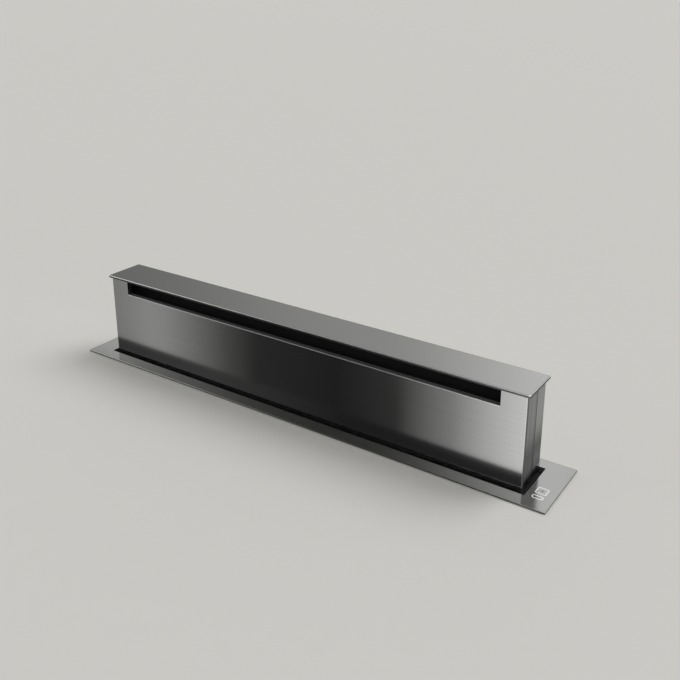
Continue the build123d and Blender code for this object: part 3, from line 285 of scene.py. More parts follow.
class ExtractorSizes(bpy.types.PropertyGroup):
    """Sizes of the pieces and of the studio"""

    line_width: bpy.props.FloatProperty(
        name="Key outline",
        description="Width of the lit line round a touch key",
        default=1.25 * MM,
        unit="LENGTH",
    )
    fan_key: bpy.props.FloatProperty(
        name="Fan key",
        description="Depth of the key that sets the fan",
        default=16 * MM,
        unit="LENGTH",
    )
    lift_key: bpy.props.FloatProperty(
        name="Lift key",
        description="Depth of the key that raises and lowers the riser",
        default=8 * MM,
        unit="LENGTH",
    )
    fan_corner: bpy.props.FloatProperty(
        name="Fan key corner",
        description="Outer radius of the lit line at the fan key's corners",
        default=2.4 * MM,
        unit="LENGTH",
    )
    lift_corner: bpy.props.FloatProperty(
        name="Lift key corner",
        description="Outer radius of the lit line at the lift key's corners",
        default=3.4 * MM,
        unit="LENGTH",
    )
    lid_edge: bpy.props.FloatProperty(
        name="Lid edge",
        description="Radius of the lid's upper edge",
        default=1.5 * MM,
        unit="LENGTH",
    )
    slot_half: bpy.props.FloatProperty(
        name="Slot half width",
        description="Distance from the middle of the suction slot to its ends",
        default=373 * MM,
        unit="LENGTH",
    )
    slot_level: bpy.props.FloatProperty(
        name="Slot level",
        description="Height of the suction slot's lower edge over the worktop",
        default=125 * MM,
        unit="LENGTH",
    )
    print_height: bpy.props.FloatProperty(
        name="Print height",
        description="How far the key print stands above the key",
        default=0.06 * MM,
        unit="LENGTH",
    )
    slab_thickness: bpy.props.FloatProperty(
        name="Worktop thickness",
        description="Thickness of the studio's worktop",
        default=38 * MM,
        unit="LENGTH",
    )
    floor_drop: bpy.props.FloatProperty(
        name="Floor drop",
        description="How far the studio floor lies under the housing",
        default=2 * MM,
        unit="LENGTH",
    )


class ExtractorColours(bpy.types.PropertyGroup):
    """Colours of the large sheets and of the studio"""

    stainless: bpy.props.FloatVectorProperty(
        name="Stainless",
        description="Colour of the bare stainless sheet",
        subtype="COLOR",
        default=linear("#c3c3c1"),
    )
    galvanised: bpy.props.FloatVectorProperty(
        name="Galvanised",
        description="Colour of the zinc-coated housing",
        subtype="COLOR",
        default=linear("#b3b8bb"),
    )
    worktop: bpy.props.FloatVectorProperty(
        name="Worktop",
        description="Colour of the studio's worktop and floor",
        subtype="COLOR",
        default=linear("#d8d7d4"),
    )


# ---- finishes on the CAD nodes ----------------------------------------------------------------

# the size of a scratch along each axis in millimetres: far longer and coarser than the real ones,
# so that the way of the grain shows
GRAIN_ALONG = (90, 0.5, 0.5)
GRAIN_UPRIGHT = (2.6, 2.6, 150)


class EXTRACTOR_OT_stainless(bpy.types.Operator):
    """Gives the riser's skin, the lid and the trim plate their brushed stainless finish"""

    bl_idname = "extractor.stainless"
    bl_label = "Brushed stainless"

    def execute(self, context):
        colour = tuple(context.scene.extractor_colours.stainless)
        # finely ground plate for the lid: an even satin, with a painted highlight on its rounded arrises
        # and painted shade on its cut edges
        ground = {"contrast": 0.009, "face": UPWARDS, "arris_highlight": 1.7, "cut": 0.2}
        brushed_stainless("lid_stainless", colour, GRAIN_ALONG, DEPTHWISE, 0.26, **ground)
        # thin skins drawn along their length, which mirror the room in upright bands; the front sheet's
        # returns and cut edges get painted shade
        front = brushed_stainless(
            "front_stainless", colour, GRAIN_ALONG, UPWARDS, 0.16, face=DEPTHWISE, cut=0.45
        )
        clothe(front, "front_panel")
        clothe(brushed_stainless("rear_stainless", colour, GRAIN_ALONG, UPWARDS, 0.16), "rear_panel")
        # the trim plate is drawn harder, so its reflections run out across the grain; its colour is
        # darkened as painted shade, with a painted highlight on its rounded arrises and painted shade on
        # its cut edges
        hard = {"face": UPWARDS, "drawn": 0.8, "arris_highlight": 1.2}
        plate = brushed_stainless(
            "plate_stainless", shaded(colour, 0.89), GRAIN_ALONG, DEPTHWISE, 0.21, **hard
        )
        clothe(plate, "trim_plate")
        # drawn strips on the riser's ends, with a grain that shows as upright lines, their colour darkened
        # as painted shade
        side = brushed_stainless(
            "side_stainless", shaded(colour, 0.8), GRAIN_UPRIGHT, DEPTHWISE, 0.2, contrast=0.22
        )
        clothe(side, "side_frames")
        # clear key windows with a metallised back, so they look like the plate round them
        keys = brushed_stainless("metallised_glass", shaded(colour, 0.95), GRAIN_ALONG, DEPTHWISE, 0.16)
        clothe(keys, "key_windows")
        return {"FINISHED"}


class EXTRACTOR_OT_hidden_metal(bpy.types.Operator):
    """Gives the housing, the blower, the lift and the filters their metal finishes"""

    bl_idname = "extractor.hidden_metal"
    bl_label = "Housing and drive metals"

    def execute(self, context):
        zinc = tuple(context.scene.extractor_colours.galvanised)
        sheet = galvanised_sheet("galvanised_sheet", zinc)
        clothe(sheet, "housing_front", "housing_back", "housing_left", "housing_right", "housing_floor")
        clothe(sheet, "guide_rails", "top_frame", "motor_bracket", "base_brackets", "clamp_brackets")
        clothe(sheet, "blower_box", "blower_cover", "scroll_shell", "inlet_plate", "outlet_transition")
        # black powder coat: a fine orange peel 1 mm across that blurs what it mirrors
        coated = plain_finish("black_powder_coat", linear("#1b1b1c"), 0.0, 0.5, 1.0, 0.03)
        clothe(coated, "filter_tray", "bottom_frame", "fan_motor", "lift_motor")
        # the chamber behind the slot: dead matt paint, near black and darker than the powder coat as
        # painted shade, so that it reads as a dark opening
        matt = plain_finish("slot_shade_black", linear("#070708"), 0.0, 0.9, 1.5, 0.03)
        clothe(matt, "baffle")
        # extruded aluminium, mill finish: pale and softly blurred
        aluminium = plain_finish("filter_aluminium", linear("#c9cbcd"), 1.0, 0.38, 0.8, 0.01)
        clothe(aluminium, "filter_frame_left", "filter_frame_middle", "filter_frame_right")
        clothe(aluminium, "filter_meshes")
        # turned and hobbed steel under a film of grease: grey and fairly bright
        machined = plain_finish("machined_steel", linear("#a3a5a8"), 1.0, 0.25, 0.5, 0.005)
        clothe(machined, "racks", "cross_shaft", "rack_pinions", "shaft_gear", "motor_pinion")
        clothe(machined, "motor_shaft", "flap_pin")
        # die-cast zinc alloy: the mould leaves a dull, faintly rippled skin
        clothe(plain_finish("cast_zinc", linear("#9a9c9e"), 1.0, 0.5, 1.2, 0.02), "lift_gearbox")
        # rolled and zinc-plated steel sheet: even, with a soft shine
        clothe(plain_finish("wheel_steel", linear("#b0b3b5"), 1.0, 0.4, 5, 0.01), "impeller")
        # zinc-plated and clear-passivated steel: a slightly yellow shine
        screw = plain_finish("zinc_screw", linear("#c4c2b6"), 1.0, 0.3, 0.6, 0.005)
        clothe(screw, "sheet_screws", "clamp_screws")
        # pressed bronze powder: brown and finely pitted
        clothe(plain_finish("sintered_bronze", linear("#a8794a"), 1.0, 0.45, 0.4, 0.01), "shaft_bearings")
        # deep-drawn aluminium can: smooth and bright
        clothe(plain_finish("drawn_can", linear("#c2c4c6"), 1.0, 0.3, 0.8, 0.005), "capacitor")
        # nickel plating on a sintered magnet: nearly a mirror, and warm in tone
        clothe(plain_finish("nickel_plate", linear("#bdbab2"), 1.0, 0.2, 0.6, 0.002), "position_magnet")
        return {"FINISHED"}


class EXTRACTOR_OT_mouldings(bpy.types.Operator):
    """Gives the plastic, rubber, foam and circuit board parts their finishes"""

    bl_idname = "extractor.mouldings"
    bl_label = "Mouldings, seal and boards"

    def execute(self, context):
        # moulded ABS: a spark-eroded texture 0.5 mm across that leaves a dull sheen
        black = plain_finish("black_abs", linear("#1d1e20"), 0.0, 0.48, 0.5, 0.02)
        clothe(black, "touch_case", "limit_sensors", "duct_collar", "flap_front", "flap_rear")
        clothe(black, "control_box", "control_cover", "mains_gland", "lead_clips")
        # extruded rubber: matt, with a faint bloom
        clothe(plain_finish("seal_rubber", linear("#121212"), 0.0, 0.75, 1.5, 0.03), "riser_seal")
        # closed-cell foam: no shine, and pores 0.7 mm across
        clothe(plain_finish("gasket_foam", linear("#2b2b2d"), 0.0, 0.95, 0.7, 0.15), "plate_gasket")
        # moulded nylon in its own colour: cream, smooth and waxy
        clothe(plain_finish("natural_nylon", linear("#dcd8c9"), 0.0, 0.4, 1.5, 0.01), "glide_shoes")
        # green solder mask over glass-fibre board: glossy over a fine weave
        board = plain_finish("circuit_board", linear("#1f5a3a"), 0.0, 0.35, 0.8, 0.02)
        clothe(board, "touch_board", "control_board")
        return {"FINISHED"}


# ---- outlines and skins -----------------------------------------------------------------------


def rounded_outline(width, depth, radius, steps=8):
    """Points of a rectangle with round corners, anticlockwise round its middle."""
    points = []
    for corner, (sx, sy) in enumerate(((1, 1), (-1, 1), (-1, -1), (1, -1))):
        centre = Vector((sx * (width / 2 - radius), sy * (depth / 2 - radius)))
        for step in range(steps + 1):
            angle = (corner + step / steps) * math.pi / 2
            points.append(centre + radius * Vector((math.cos(angle), math.sin(angle))))
    return points


def square_outline(half_width, half_depth):
    """The corners of a rectangle, anticlockwise round its middle."""
    return [Vector((a * half_width, b * half_depth)) for a, b in ((1, 1), (-1, 1), (-1, -1), (1, -1))]


def at_level(outline, middle, level):
    """The points of a flat outline, set about a middle at a level."""
    return [(middle[0] + p.x, middle[1] + p.y, level) for p in outline]


def rings(shape, outlines, closed=False):
    """Skins a row of outlines that all have the same number of points. A closed row joins its last
    outline to its first, and any other is capped at both ends."""
    loops = [[shape.verts.new(point) for point in outline] for outline in outlines]
    following = loops[1:] + loops[:1] if closed else loops[1:]
    count = len(loops[0])
    for here, there in zip(loops, following):
        for i in range(count):
            shape.faces.new((here[i], here[(i + 1) % count], there[(i + 1) % count], there[i]))
    if not closed:
        shape.faces.new(loops[0][::-1])
        shape.faces.new(loops[-1])


def band(shape, outer, inner, middle, low, high):
    """A flat ring between two outlines with the same number of points, from low to high."""
    levels = ((outer, low), (outer, high), (inner, high), (inner, low))
    rings(shape, [at_level(outline, middle, level) for outline, level in levels], closed=True)


def patch(shape, outline, middle, low, high):
    """A flat plate with a given outline, from low to high."""
    rings(shape, [at_level(outline, middle, low), at_level(outline, middle, high)])


def turned(profile, segments, axis, middle):
    """Outlines of a shape turned about a middle, from its (radius, height) profile along an axis."""
    outlines = []
    for radius, height in profile:
        outline = []
        for step in range(segments):
            angle = 2 * math.pi * step / segments
            a, b = radius * math.cos(angle), radius * math.sin(angle)
            point = {"X": (height, a, b), "Y": (a, height, b), "Z": (a, b, height)}[axis]
            outline.append(Vector(point) + Vector(middle))
        outlines.append(outline)
    return outlines


def standing(profile, level=0.0):
    """A profile of (radius, height) pairs in millimetres, as metres from a level up."""
    return [(radius * MM, level + height * MM) for radius, height in profile]


# ---- touch keys -------------------------------------------------------------------------------

# the signs' sizes as shares of their key's depth, but the arrows' offset as a share of its width
BLADE_REACH = 0.2
ARROW_OFFSET = 0.11
ARROW_TIP = 0.15
ARROW_FOOT = 0.22


def key_places(fan_depth, lift_depth):
    """The middle and size of the fan key and the lift key, which fill the two ends of the key
    windows, and the windows' level."""
    low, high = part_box("key_windows")
    across, width = (low.x + high.x) / 2, high.x - low.x
    fan = ((across, high.y - fan_depth / 2), width, fan_depth)
    lift = ((across, low.y + lift_depth / 2), width, lift_depth)
    return fan, lift, high.z


def petal(turn, reach):
    """One blade of the fan sign, which sweeps round as it swells out from its hub."""
    hub, sweep, fullness = 0.18, 0.95, 0.55
    points = []
    for step in range(13):
        share = step / 12
        angle = turn + sweep * share
        radius = reach * (hub + (1 - hub) * math.sin(math.pi * share) ** fullness)
        points.append(radius * Vector((math.cos(angle), math.sin(angle))))
    return points


class EXTRACTOR_OT_key_print(bpy.types.Operator):
    """Prints the lit outlines and the plain fan and arrow signs on the two touch keys"""

    bl_idname = "extractor.key_print"
    bl_label = "Key print"

    def execute(self, context):
        sizes = context.scene.extractor_sizes
        fan, lift, top = key_places(sizes.fan_key, sizes.lift_key)
        high = top + sizes.print_height

        def outlines(shape):
            line = sizes.line_width
            for (middle, width, depth), corner in ((fan, sizes.fan_corner), (lift, sizes.lift_corner)):
                outer = rounded_outline(width, depth, corner)
                inner = rounded_outline(width - 2 * line, depth - 2 * line, corner - line)
                band(shape, outer, inner, middle, top, high)

        def signs(shape):
            middle, _, depth = fan
            for blade in range(4):
                patch(shape, petal(blade * math.pi / 2, BLADE_REACH * depth), middle, top, high)
            middle, width, depth = lift
            foot = ARROW_FOOT * depth
            for side in (-1, 1):
                x, tip = side * ARROW_OFFSET * width, side * ARROW_TIP * depth
                arrow = [Vector((x - foot, -tip)), Vector((x + foot, -tip)), Vector((x, tip))]
                patch(shape, arrow, middle, top, high)

        lines = mesh_piece("key_outlines", outlines)
        ride_and_finish(lines, "housing", lit_print("lit_ink", linear("#ececea"), 0.22))
        marks = mesh_piece("key_signs", signs)
        # dark screen-printed ink: flat and nearly smooth
        ink = plain_finish("dark_ink", linear("#5a5a5b"), 0.0, 0.4, 1.0, 0.002)
        ride_and_finish(marks, "housing", ink)
        return {"FINISHED"}


# ---- trees for what repeats -------------------------------------------------------------------


def open_tree(name, sockets):
    """A new geometry tree with named inputs and a material, and the sockets that they come out of."""
    tree = bpy.data.node_groups.new(name, "GeometryNodeTree")
    for label, kind in {**sockets, "Material": "Material"}.items():
        tree.interface.new_socket(label, in_out="INPUT", socket_type="NodeSocket" + kind)
    tree.interface.new_socket("Geometry", in_out="OUTPUT", socket_type="NodeSocketGeometry")
    return tree, add(tree, "NodeGroupInput").outputs


def close_tree(tree, source, inputs):
    """Ends a geometry tree: its instances become a mesh that takes the input's material."""
    real = add(tree, "GeometryNodeRealizeInstances", {"Geometry": source})
    coated = {"Geometry": real.outputs[0], "Material": inputs["Material"]}
    coat = add(tree, "GeometryNodeSetMaterial", coated)
    add(tree, "NodeGroupOutput", {"Geometry": coat.outputs[0]})
    return tree


def placed_tree():
    """A tree that sets one shape on every point of a mesh, turned by the point's own angles."""
    kinds = {"Places": "Geometry", "Shape": "Object", "Size": "Float"}
    tree, inputs = open_tree("set_on_places", kinds)
    shape = add(tree, "GeometryNodeObjectInfo", {"Object": inputs["Shape"]})
    turn = add(tree, "GeometryNodeInputNamedAttribute", inputs={"Name": "turn"}, data_type="FLOAT_VECTOR")
    angles = add(tree, "FunctionNodeEulerToRotation", {0: turn.outputs[0]})
    links = {
        "Points": inputs["Places"],
        "Instance": shape.outputs["Geometry"],
        "Rotation": angles.outputs[0],
        "Scale": inputs["Size"],
    }
    return close_tree(tree, add(tree, "GeometryNodeInstanceOnPoints", links).outputs[0], inputs)


def row_tree():
    """A tree that repeats one shape along a straight row."""
    kinds = {"Count": "Int", "Start": "Vector", "Step": "Vector", "Shape": "Object"}
    tree, inputs = open_tree("row_of_shapes", kinds)
    shape = add(tree, "GeometryNodeObjectInfo", {"Object": inputs["Shape"]})
    links = {"Count": inputs["Count"], "Start Location": inputs["Start"], "Offset": inputs["Step"]}
    row = add(tree, "GeometryNodeMeshLine", links)
    links = {"Points": row.outputs[0], "Instance": shape.outputs["Geometry"]}
    return close_tree(tree, add(tree, "GeometryNodeInstanceOnPoints", links).outputs[0], inputs)


def ring_tree():
    """A tree that repeats one shape round a circle in the YZ plane, its X axis outwards."""
    kinds = {"Count": "Int", "Radius": "Float", "Middle": "Vector", "Shape": "Object"}
    tree, inputs = open_tree("ring_of_shapes", kinds)
    shape = add(tree, "GeometryNodeObjectInfo", {"Object": inputs["Shape"]})
    links = {"Vertices": inputs["Count"], "Radius": inputs["Radius"]}
    ring = add(tree, "GeometryNodeMeshCircle", links)
    place = {"Vector": add(tree, "GeometryNodeInputPosition").outputs[0]}
    outwards = add(tree, "FunctionNodeAlignRotationToVector", place, axis="X", pivot_axis="Z")
    links = {
        "Points": ring.outputs[0],
        "Instance": shape.outputs["Geometry"],
        "Rotation": outwards.outputs[0],
    }
    copies = add(tree, "GeometryNodeInstanceOnPoints", links)
    links = {"Geometry": copies.outputs[0], "Translation": inputs["Middle"]}
    upright = add(tree, "GeometryNodeTransform", links, {"Rotation": (0, -math.pi / 2, 0)})
    return close_tree(tree, upright.outputs[0], inputs)


def weave_tree():
    """A tree that weaves a corrugated wire mesh in the XZ plane."""
    sizes = ("Width", "Height", "Wave", "Wave length", "Wire")
    kinds = {"Columns": "Int", "Rows": "Int", "Middle": "Vector"}
    tree, inputs = open_tree("wire_mesh", {**dict.fromkeys(sizes, "Float"), **kinds})
    links = {
        "Size X": inputs["Width"],
        "Size Y": inputs["Height"],
        "Vertices X": inputs["Columns"],
        "Vertices Y": inputs["Rows"],
    }
    grid = add(tree, "GeometryNodeMeshGrid", links)
    place = add(tree, "GeometryNodeInputPosition")
    apart = add(tree, "ShaderNodeSeparateXYZ", {"Vector": place.outputs[0]})
    links = {0: apart.outputs["X"], 1: inputs["Wave length"]}
    waves = add(tree, "ShaderNodeMath", links, operation="DIVIDE").outputs[0]
    turns = add(tree, "ShaderNodeMath", {0: waves}, {1: 2 * math.pi}, operation="MULTIPLY").outputs[0]
    swing = add(tree, "ShaderNodeMath", {0: turns}, operation="SINE").outputs[0]
    height = add(tree, "ShaderNodeMath", {0: swing, 1: inputs["Wave"]}, operation="MULTIPLY")
    shift = add(tree, "ShaderNodeCombineXYZ", {"Z": height.outputs[0]})
    links = {"Geometry": grid.outputs[0], "Offset": shift.outputs[0]}
    waved = add(tree, "GeometryNodeSetPosition", links)
    lines = add(tree, "GeometryNodeMeshToCurve", {"Mesh": waved.outputs[0]})
    links = {"Radius": inputs["Wire"]}
    section = add(tree, "GeometryNodeCurvePrimitiveCircle", links, {"Resolution": 4})
    links = {"Curve": lines.outputs[0], "Profile Curve": section.outputs[0]}
    wires = add(tree, "GeometryNodeCurveToMesh", links)
    links = {"Geometry": wires.outputs[0], "Translation": inputs["Middle"]}
    upright = add(tree, "GeometryNodeTransform", links, {"Rotation": (math.pi / 2, 0, 0)})
    return close_tree(tree, upright.outputs[0], inputs)


def grown(piece, tree, values):
    """Turns a piece into the plain mesh that a geometry tree makes of it."""
    modifier = piece.modifiers.new(tree.name, "NODES")
    modifier.node_group = tree
    for item in tree.interface.items_tree:
        if item.in_out == "INPUT" and item.name in values:
            modifier[item.identifier] = values[item.name]
    made = piece.evaluated_get(bpy.context.evaluated_depsgraph_get())
    mesh = bpy.data.meshes.new_from_object(made)
    piece.modifiers.clear()
    piece.data = mesh
    return piece


def repeated(name, tree, values, build, points=()):
    """A piece in which a tree repeats the shape that a builder fills; points are (place, facing)."""
    pattern = mesh_piece(name + "_pattern", build)
    places = bpy.data.meshes.new(name)
    places.from_pydata([place for place, _ in points], [], [])
    turns = places.attributes.new("turn", "FLOAT_VECTOR", "POINT")
    for item, (_, facing) in zip(turns.data, points):
        item.vector = Vector(facing).to_track_quat("Z", "Y").to_euler()
    piece = grown(new_object(name, places), tree, {"Shape": pattern, **values})
    bpy.data.objects.remove(pattern)
    return piece


# ---- screws -----------------------------------------------------------------------------------

# the screw's head as (radius, height) in millimetres
HEAD_PROFILE = ((3.6, 0), (3.6, 0.5), (3.45, 1.0), (3.0, 1.45), (2.4, 1.72), (2.1, 1.78))
RECESS_ARM = 0.42 * MM, 1.9 * MM  # half the width of an arm, and its reach
RECESS_ANGLES = 29, 45, 61  # degrees from one arm's middle to points on the way to the next arm
RECESS_FLOOR = 0.9 * MM
RECESS_TAPER = 0.82  # the recess at its floor, as a share of its mouth
PANEL_INSET = 7 * MM  # from the edge of a housing panel or the blower's cover to its screws
PANEL_ROWS = 4
TOP_ROW = -60 * MM
ROW_PITCH = 140 * MM
COLLAR_INSET = 9.5 * MM
FLANGE_THICKNESS = 2 * MM
CONTROL_INSET = 9 * MM


def cross_outline(scale, height):
    """The outline of a cross recess in 24 points, at angles that hit its corners."""
    half, reach = RECESS_ARM
    corner = math.atan2(half, reach)
    offsets = [-corner, 0, corner] + [math.radians(a) for a in RECESS_ANGLES]
    points = []
    for arm in range(4):
        for offset in offsets:
            side = max(min(abs(math.sin(offset)), math.cos(offset)), 0.001)
            radius = scale * min(reach / math.cos(offset), half / side)
            angle = arm * math.pi / 2 + offset
            points.append(Vector((radius * math.cos(angle), radius * math.sin(angle), height)))
    return points


def pan_head(shape):
    """A pan-head screw with a cross recess, standing on its sheet at the origin."""
    angles = [math.atan2(p.y, p.x) for p in cross_outline(1, 0)]
    outlines = []
    for radius, height in standing(HEAD_PROFILE):
        outlines.append([(radius * math.cos(a), radius * math.sin(a), height) for a in angles])
    crown = HEAD_PROFILE[-1][1] * MM
    outlines += [cross_outline(1, crown), cross_outline(RECESS_TAPER, RECESS_FLOOR)]
    rings(shape, outlines)


class EXTRACTOR_OT_screws(bpy.types.Operator):
    """Sets cross-recess screws at the housing's corners and on its blower cover, collar and control box"""

    bl_idname = "extractor.screws"
    bl_label = "Sheet screws"

    def execute(self, context):
        left, front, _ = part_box("housing_front")[0]
        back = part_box("housing_back")[1].y
        points = []
        for row in range(PANEL_ROWS):
            z = TOP_ROW - row * ROW_PITCH
            for x in (left + PANEL_INSET, -left - PANEL_INSET):
                points += [((x, front, z), (0, -1, 0)), ((x, back, z), (0, 1, 0))]
        low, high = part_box("blower_cover")
        xs = (low.x + PANEL_INSET, (low.x + high.x) / 2, high.x - PANEL_INSET)
        zs = (low.z + PANEL_INSET, (low.z + high.z) / 2, high.z - PANEL_INSET)
        rim = [(x, z) for x in xs for z in zs if (x, z) != (xs[1], zs[1])]
        points += [((x, low.y, z), (0, -1, 0)) for x, z in rim]
        low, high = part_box("duct_collar")
        for y in (low.y + COLLAR_INSET, high.y - COLLAR_INSET):
            for z in (low.z + COLLAR_INSET, high.z - COLLAR_INSET):
                points.append(((high.x - FLANGE_THICKNESS, y, z), (-1, 0, 0)))
        low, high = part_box("control_cover")
        for x in (low.x + CONTROL_INSET, high.x - CONTROL_INSET):
            for z in (low.z + CONTROL_INSET, high.z - CONTROL_INSET):
                points.append(((x, low.y, z), (0, -1, 0)))
        # zinc-plated steel, fresh from the bath: brighter than the screws inside
        bright = plain_finish("bright_zinc", linear("#cfcdc3"), 1.0, 0.28, 0.6, 0.005)
        values = {"Size": 1.0, "Material": bright}
        screws = repeated("panel_screws", placed_tree(), values, pan_head, points)
        ride_and_finish(screws, "housing")
        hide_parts("sheet_screws")
        return {"FINISHED"}


# ---- worktop clamps ---------------------------------------------------------------------------

ROD_RADIUS = 2.5 * MM
ROD_PITCH = 1.25 * MM
THREAD_DEPTH = 0.45 * MM
THREAD_SEGMENTS, ROWS_A_PITCH = 20, 5
ROD_FOOT = 4 * MM  # how far up the bolt's head the rod starts
PAD_THICKNESS = 2 * MM
PAD_RADIUS = 7.5 * MM
NUT_LEVEL = 14.2  # millimetres, as in the profiles below
HEAD_HEXAGON = ((4.2, 0), (4.9, 0.5), (4.9, 3.6), (4.2, 4.1))
NUT_HEXAGON = ((4.0, 0), (4.7, 0.4), (4.7, 3.0), (4.0, 3.4))
PAD_PROFILE = ((6.9, -2.0), (7.5, -1.6), (7.5, -0.4), (7.1, 0))


def thread(x, y, foot, top):
    """Outlines of a threaded rod along Z: each point's radius follows its place on the helix."""
    rows = int((top - foot) / ROD_PITCH * ROWS_A_PITCH)
    outlines = []
    for row in range(rows + 1):
        height = foot + (top - foot) * row / rows
        outline = []
        for step in range(THREAD_SEGMENTS):
            share = (height / ROD_PITCH - step / THREAD_SEGMENTS) % 1
            radius = ROD_RADIUS - THREAD_DEPTH * abs(2 * share - 1)
            angle = 2 * math.pi * step / THREAD_SEGMENTS
            outline.append((x + radius * math.cos(angle), y + radius * math.sin(angle), height))
        outlines.append(outline)
    return outlines


class EXTRACTOR_OT_clamps(bpy.types.Operator):
    """Cuts threads on the four worktop clamps and gives them hexagon heads and rubber pads"""

    bl_idname = "extractor.clamps"
    bl_label = "Clamp screws"

    def execute(self, context):
        low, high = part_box("clamp_screws")
        xs = (low.x + PAD_RADIUS, high.x - PAD_RADIUS)
        ys = (low.y + PAD_RADIUS, high.y - PAD_RADIUS)
        places = [(x, y) for x in xs for y in ys]
        nut = [(radius, NUT_LEVEL + height) for radius, height in NUT_HEXAGON]

        def rods(shape):
            for x, y in places:
                rings(shape, thread(x, y, low.z + ROD_FOOT, high.z - PAD_THICKNESS))
                for hexagon in (HEAD_HEXAGON, nut):
                    rings(shape, turned(standing(hexagon, low.z), 6, "Z", (x, y, 0)))

        def pads(shape):
            for x, y in places:
                rings(shape, turned(standing(PAD_PROFILE, high.z), 32, "Z", (x, y, 0)))

        bolts = mesh_piece("clamp_bolts", rods)
        # zinc-plated steel: a slightly yellow shine
        zinc = plain_finish("clamp_zinc", linear("#bdbbb0"), 1.0, 0.3, 0.8, 0.004)
        ride_and_finish(bolts, "housing", zinc)
        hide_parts("clamp_screws")
        feet = mesh_piece("clamp_pads", pads)
        # moulded rubber: matt
        rubber = plain_finish("pad_rubber", linear("#161616"), 0.0, 0.7, 1, 0.02)
        ride_and_finish(feet, "housing", rubber)
        return {"FINISHED"}


# ---- touch lead -------------------------------------------------------------------------------

LEAD_RADIUS = 2 * MM
LEAD_ROUTE = [
    (443.0, -23.5, -12.0),
    (443.0, -23.5, -56.0),
    (443.6, -27.5, -96.0),
    (444.2, -39.5, -138.0),
    (444.2, -57.5, -178.0),
    (429.7, -71.0, -216.0),
    (404.8, -74.0, -238.0),
    (383.2, -74.0, -244.0),
    (360.0, -74.0, -244.0),
]


class EXTRACTOR_OT_touch_lead(bpy.types.Operator):
    """Lays the lead from the touch case down to the control box"""

    bl_idname = "extractor.touch_lead"
    bl_label = "Touch lead"

    def execute(self, context):
        line = bpy.data.curves.new("touch_lead_line", "CURVE")
        line.dimensions = "3D"
        spline = line.splines.new("NURBS")
        spline.points.add(len(LEAD_ROUTE) - 1)
        for point, place in zip(spline.points, LEAD_ROUTE):
            point.co = (*(c * MM for c in place), 1)
        spline.order_u = 3
        spline.use_endpoint_u = True
        line.bevel_depth = LEAD_RADIUS
        line.bevel_resolution = 5
        line.use_fill_caps = True
        line.resolution_u = 16
        # PVC jacket: smooth and slightly waxy
        line.materials.append(plain_finish("lead_jacket", linear("#232325"), 0.0, 0.45, 1.2, 0.01))
        lead = new_object("lead_run", line)
        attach(lead, "housing")
        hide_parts("touch_lead")
        return {"FINISHED"}


# ---- pressed and moulded relief ---------------------------------------------------------------

BEAD_HEIGHT = 1.5 * MM
BEAD_HALF_WIDTH = 6 * MM
BEAD_STEPS = 8  # from one side of a bead's half-round section to the other
BEAD_TIP = 0.06  # the share of its section that is left at a bead's very ends
# each field of beads: name, how many, x and z of the first, pitch, half length, and the side of the
# housing that it is pressed out of, -1 for the front
BEAD_FIELDS = (
    ("back_beads", 5, 0, -130, -76, 395, 1),
    ("top_beads", 2, 0, -115, -34, 395, -1),
    ("left_beads", 4, -300, -230, -64, 108, -1),
    ("right_beads", 2, 300, -385, -50, 108, -1),
)
COVER_RING_RADII = 62 * MM, 118 * MM
COVER_RING_HALF_WIDTH = 4 * MM


def bead(half_length, half_width, height, side):
    """A builder of a long bead along X with rounded ends, closed underneath, about the origin. It
    stands out to the given side of the XZ plane."""
    halves = []
    for step in range(5):
        lean = math.pi / 2 * step / 4
        halves.append((half_width * (1 - math.cos(lean)) - half_length, max(math.sin(lean), BEAD_TIP)))
    sections = halves + [(-place, share) for place, share in halves[::-1]]

    def build(shape):
        outlines = []
        for place, share in sections:
            outline = []
            for step in range(BEAD_STEPS + 1):
                angle = math.pi * step / BEAD_STEPS
                out, across = height * share * math.sin(angle), half_width * share * math.cos(angle)
                outline.append((place, side * out, side * across))
            outlines.append(outline)
        rings(shape, outlines)

    return build


class EXTRACTOR_OT_pressings(bpy.types.Operator):
    """Presses stiffening beads into the housing's panels and rings into the blower cover"""

    bl_idname = "extractor.pressings"
    bl_label = "Pressed beads"

    def execute(self, context):
        zinc = bpy.data.materials["galvanised_sheet"]
        faces = {-1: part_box("housing_front")[0].y, 1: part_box("housing_back")[1].y}
        tree = row_tree()
        for name, count, x, z, pitch, half_length, side in BEAD_FIELDS:
            values = {
                "Count": count,
                "Start": (x * MM, faces[side], z * MM),
                "Step": (0, 0, pitch * MM),
                "Material": zinc,
            }
            build = bead(half_length * MM, BEAD_HALF_WIDTH, BEAD_HEIGHT, side)
            ride_and_finish(repeated(name, tree, values, build), "housing")

        low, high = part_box("blower_cover")
        middle = ((low.x + high.x) / 2, low.y, (low.z + high.z) / 2)

        def press(shape):
            for radius in COVER_RING_RADII:
                profile = []
                for step in range(BEAD_STEPS + 1):
                    lean = math.pi * step / BEAD_STEPS
                    across = COVER_RING_HALF_WIDTH * math.cos(lean)
                    profile.append((radius + across, -BEAD_HEIGHT * math.sin(lean)))
                rings(shape, turned(profile, 72, "Y", middle), closed=True)

        ride_and_finish(mesh_piece("cover_rings", press), "housing", zinc)
        return {"FINISHED"}


BARREL_RADIUS = 74.5 * MM
GUSSETS = 24
GUSSET_HALF_THICKNESS = 0.9 * MM
GUSSET_OUTLINE = ((-0.8, 0), (3.6, 0), (3.6, 1.5), (0.4, 17), (-0.8, 17))
GUSSET_ROOT = 2.6 * MM  # the flange's thickness and the fillet behind it
CLAMP_BEADS = 6 * MM, 24 * MM  # how far from the collar's mouth they start
CLAMP_BEAD_RADIUS = 1.6 * MM
CLAMP_BEAD_SINK = 0.4 * MM


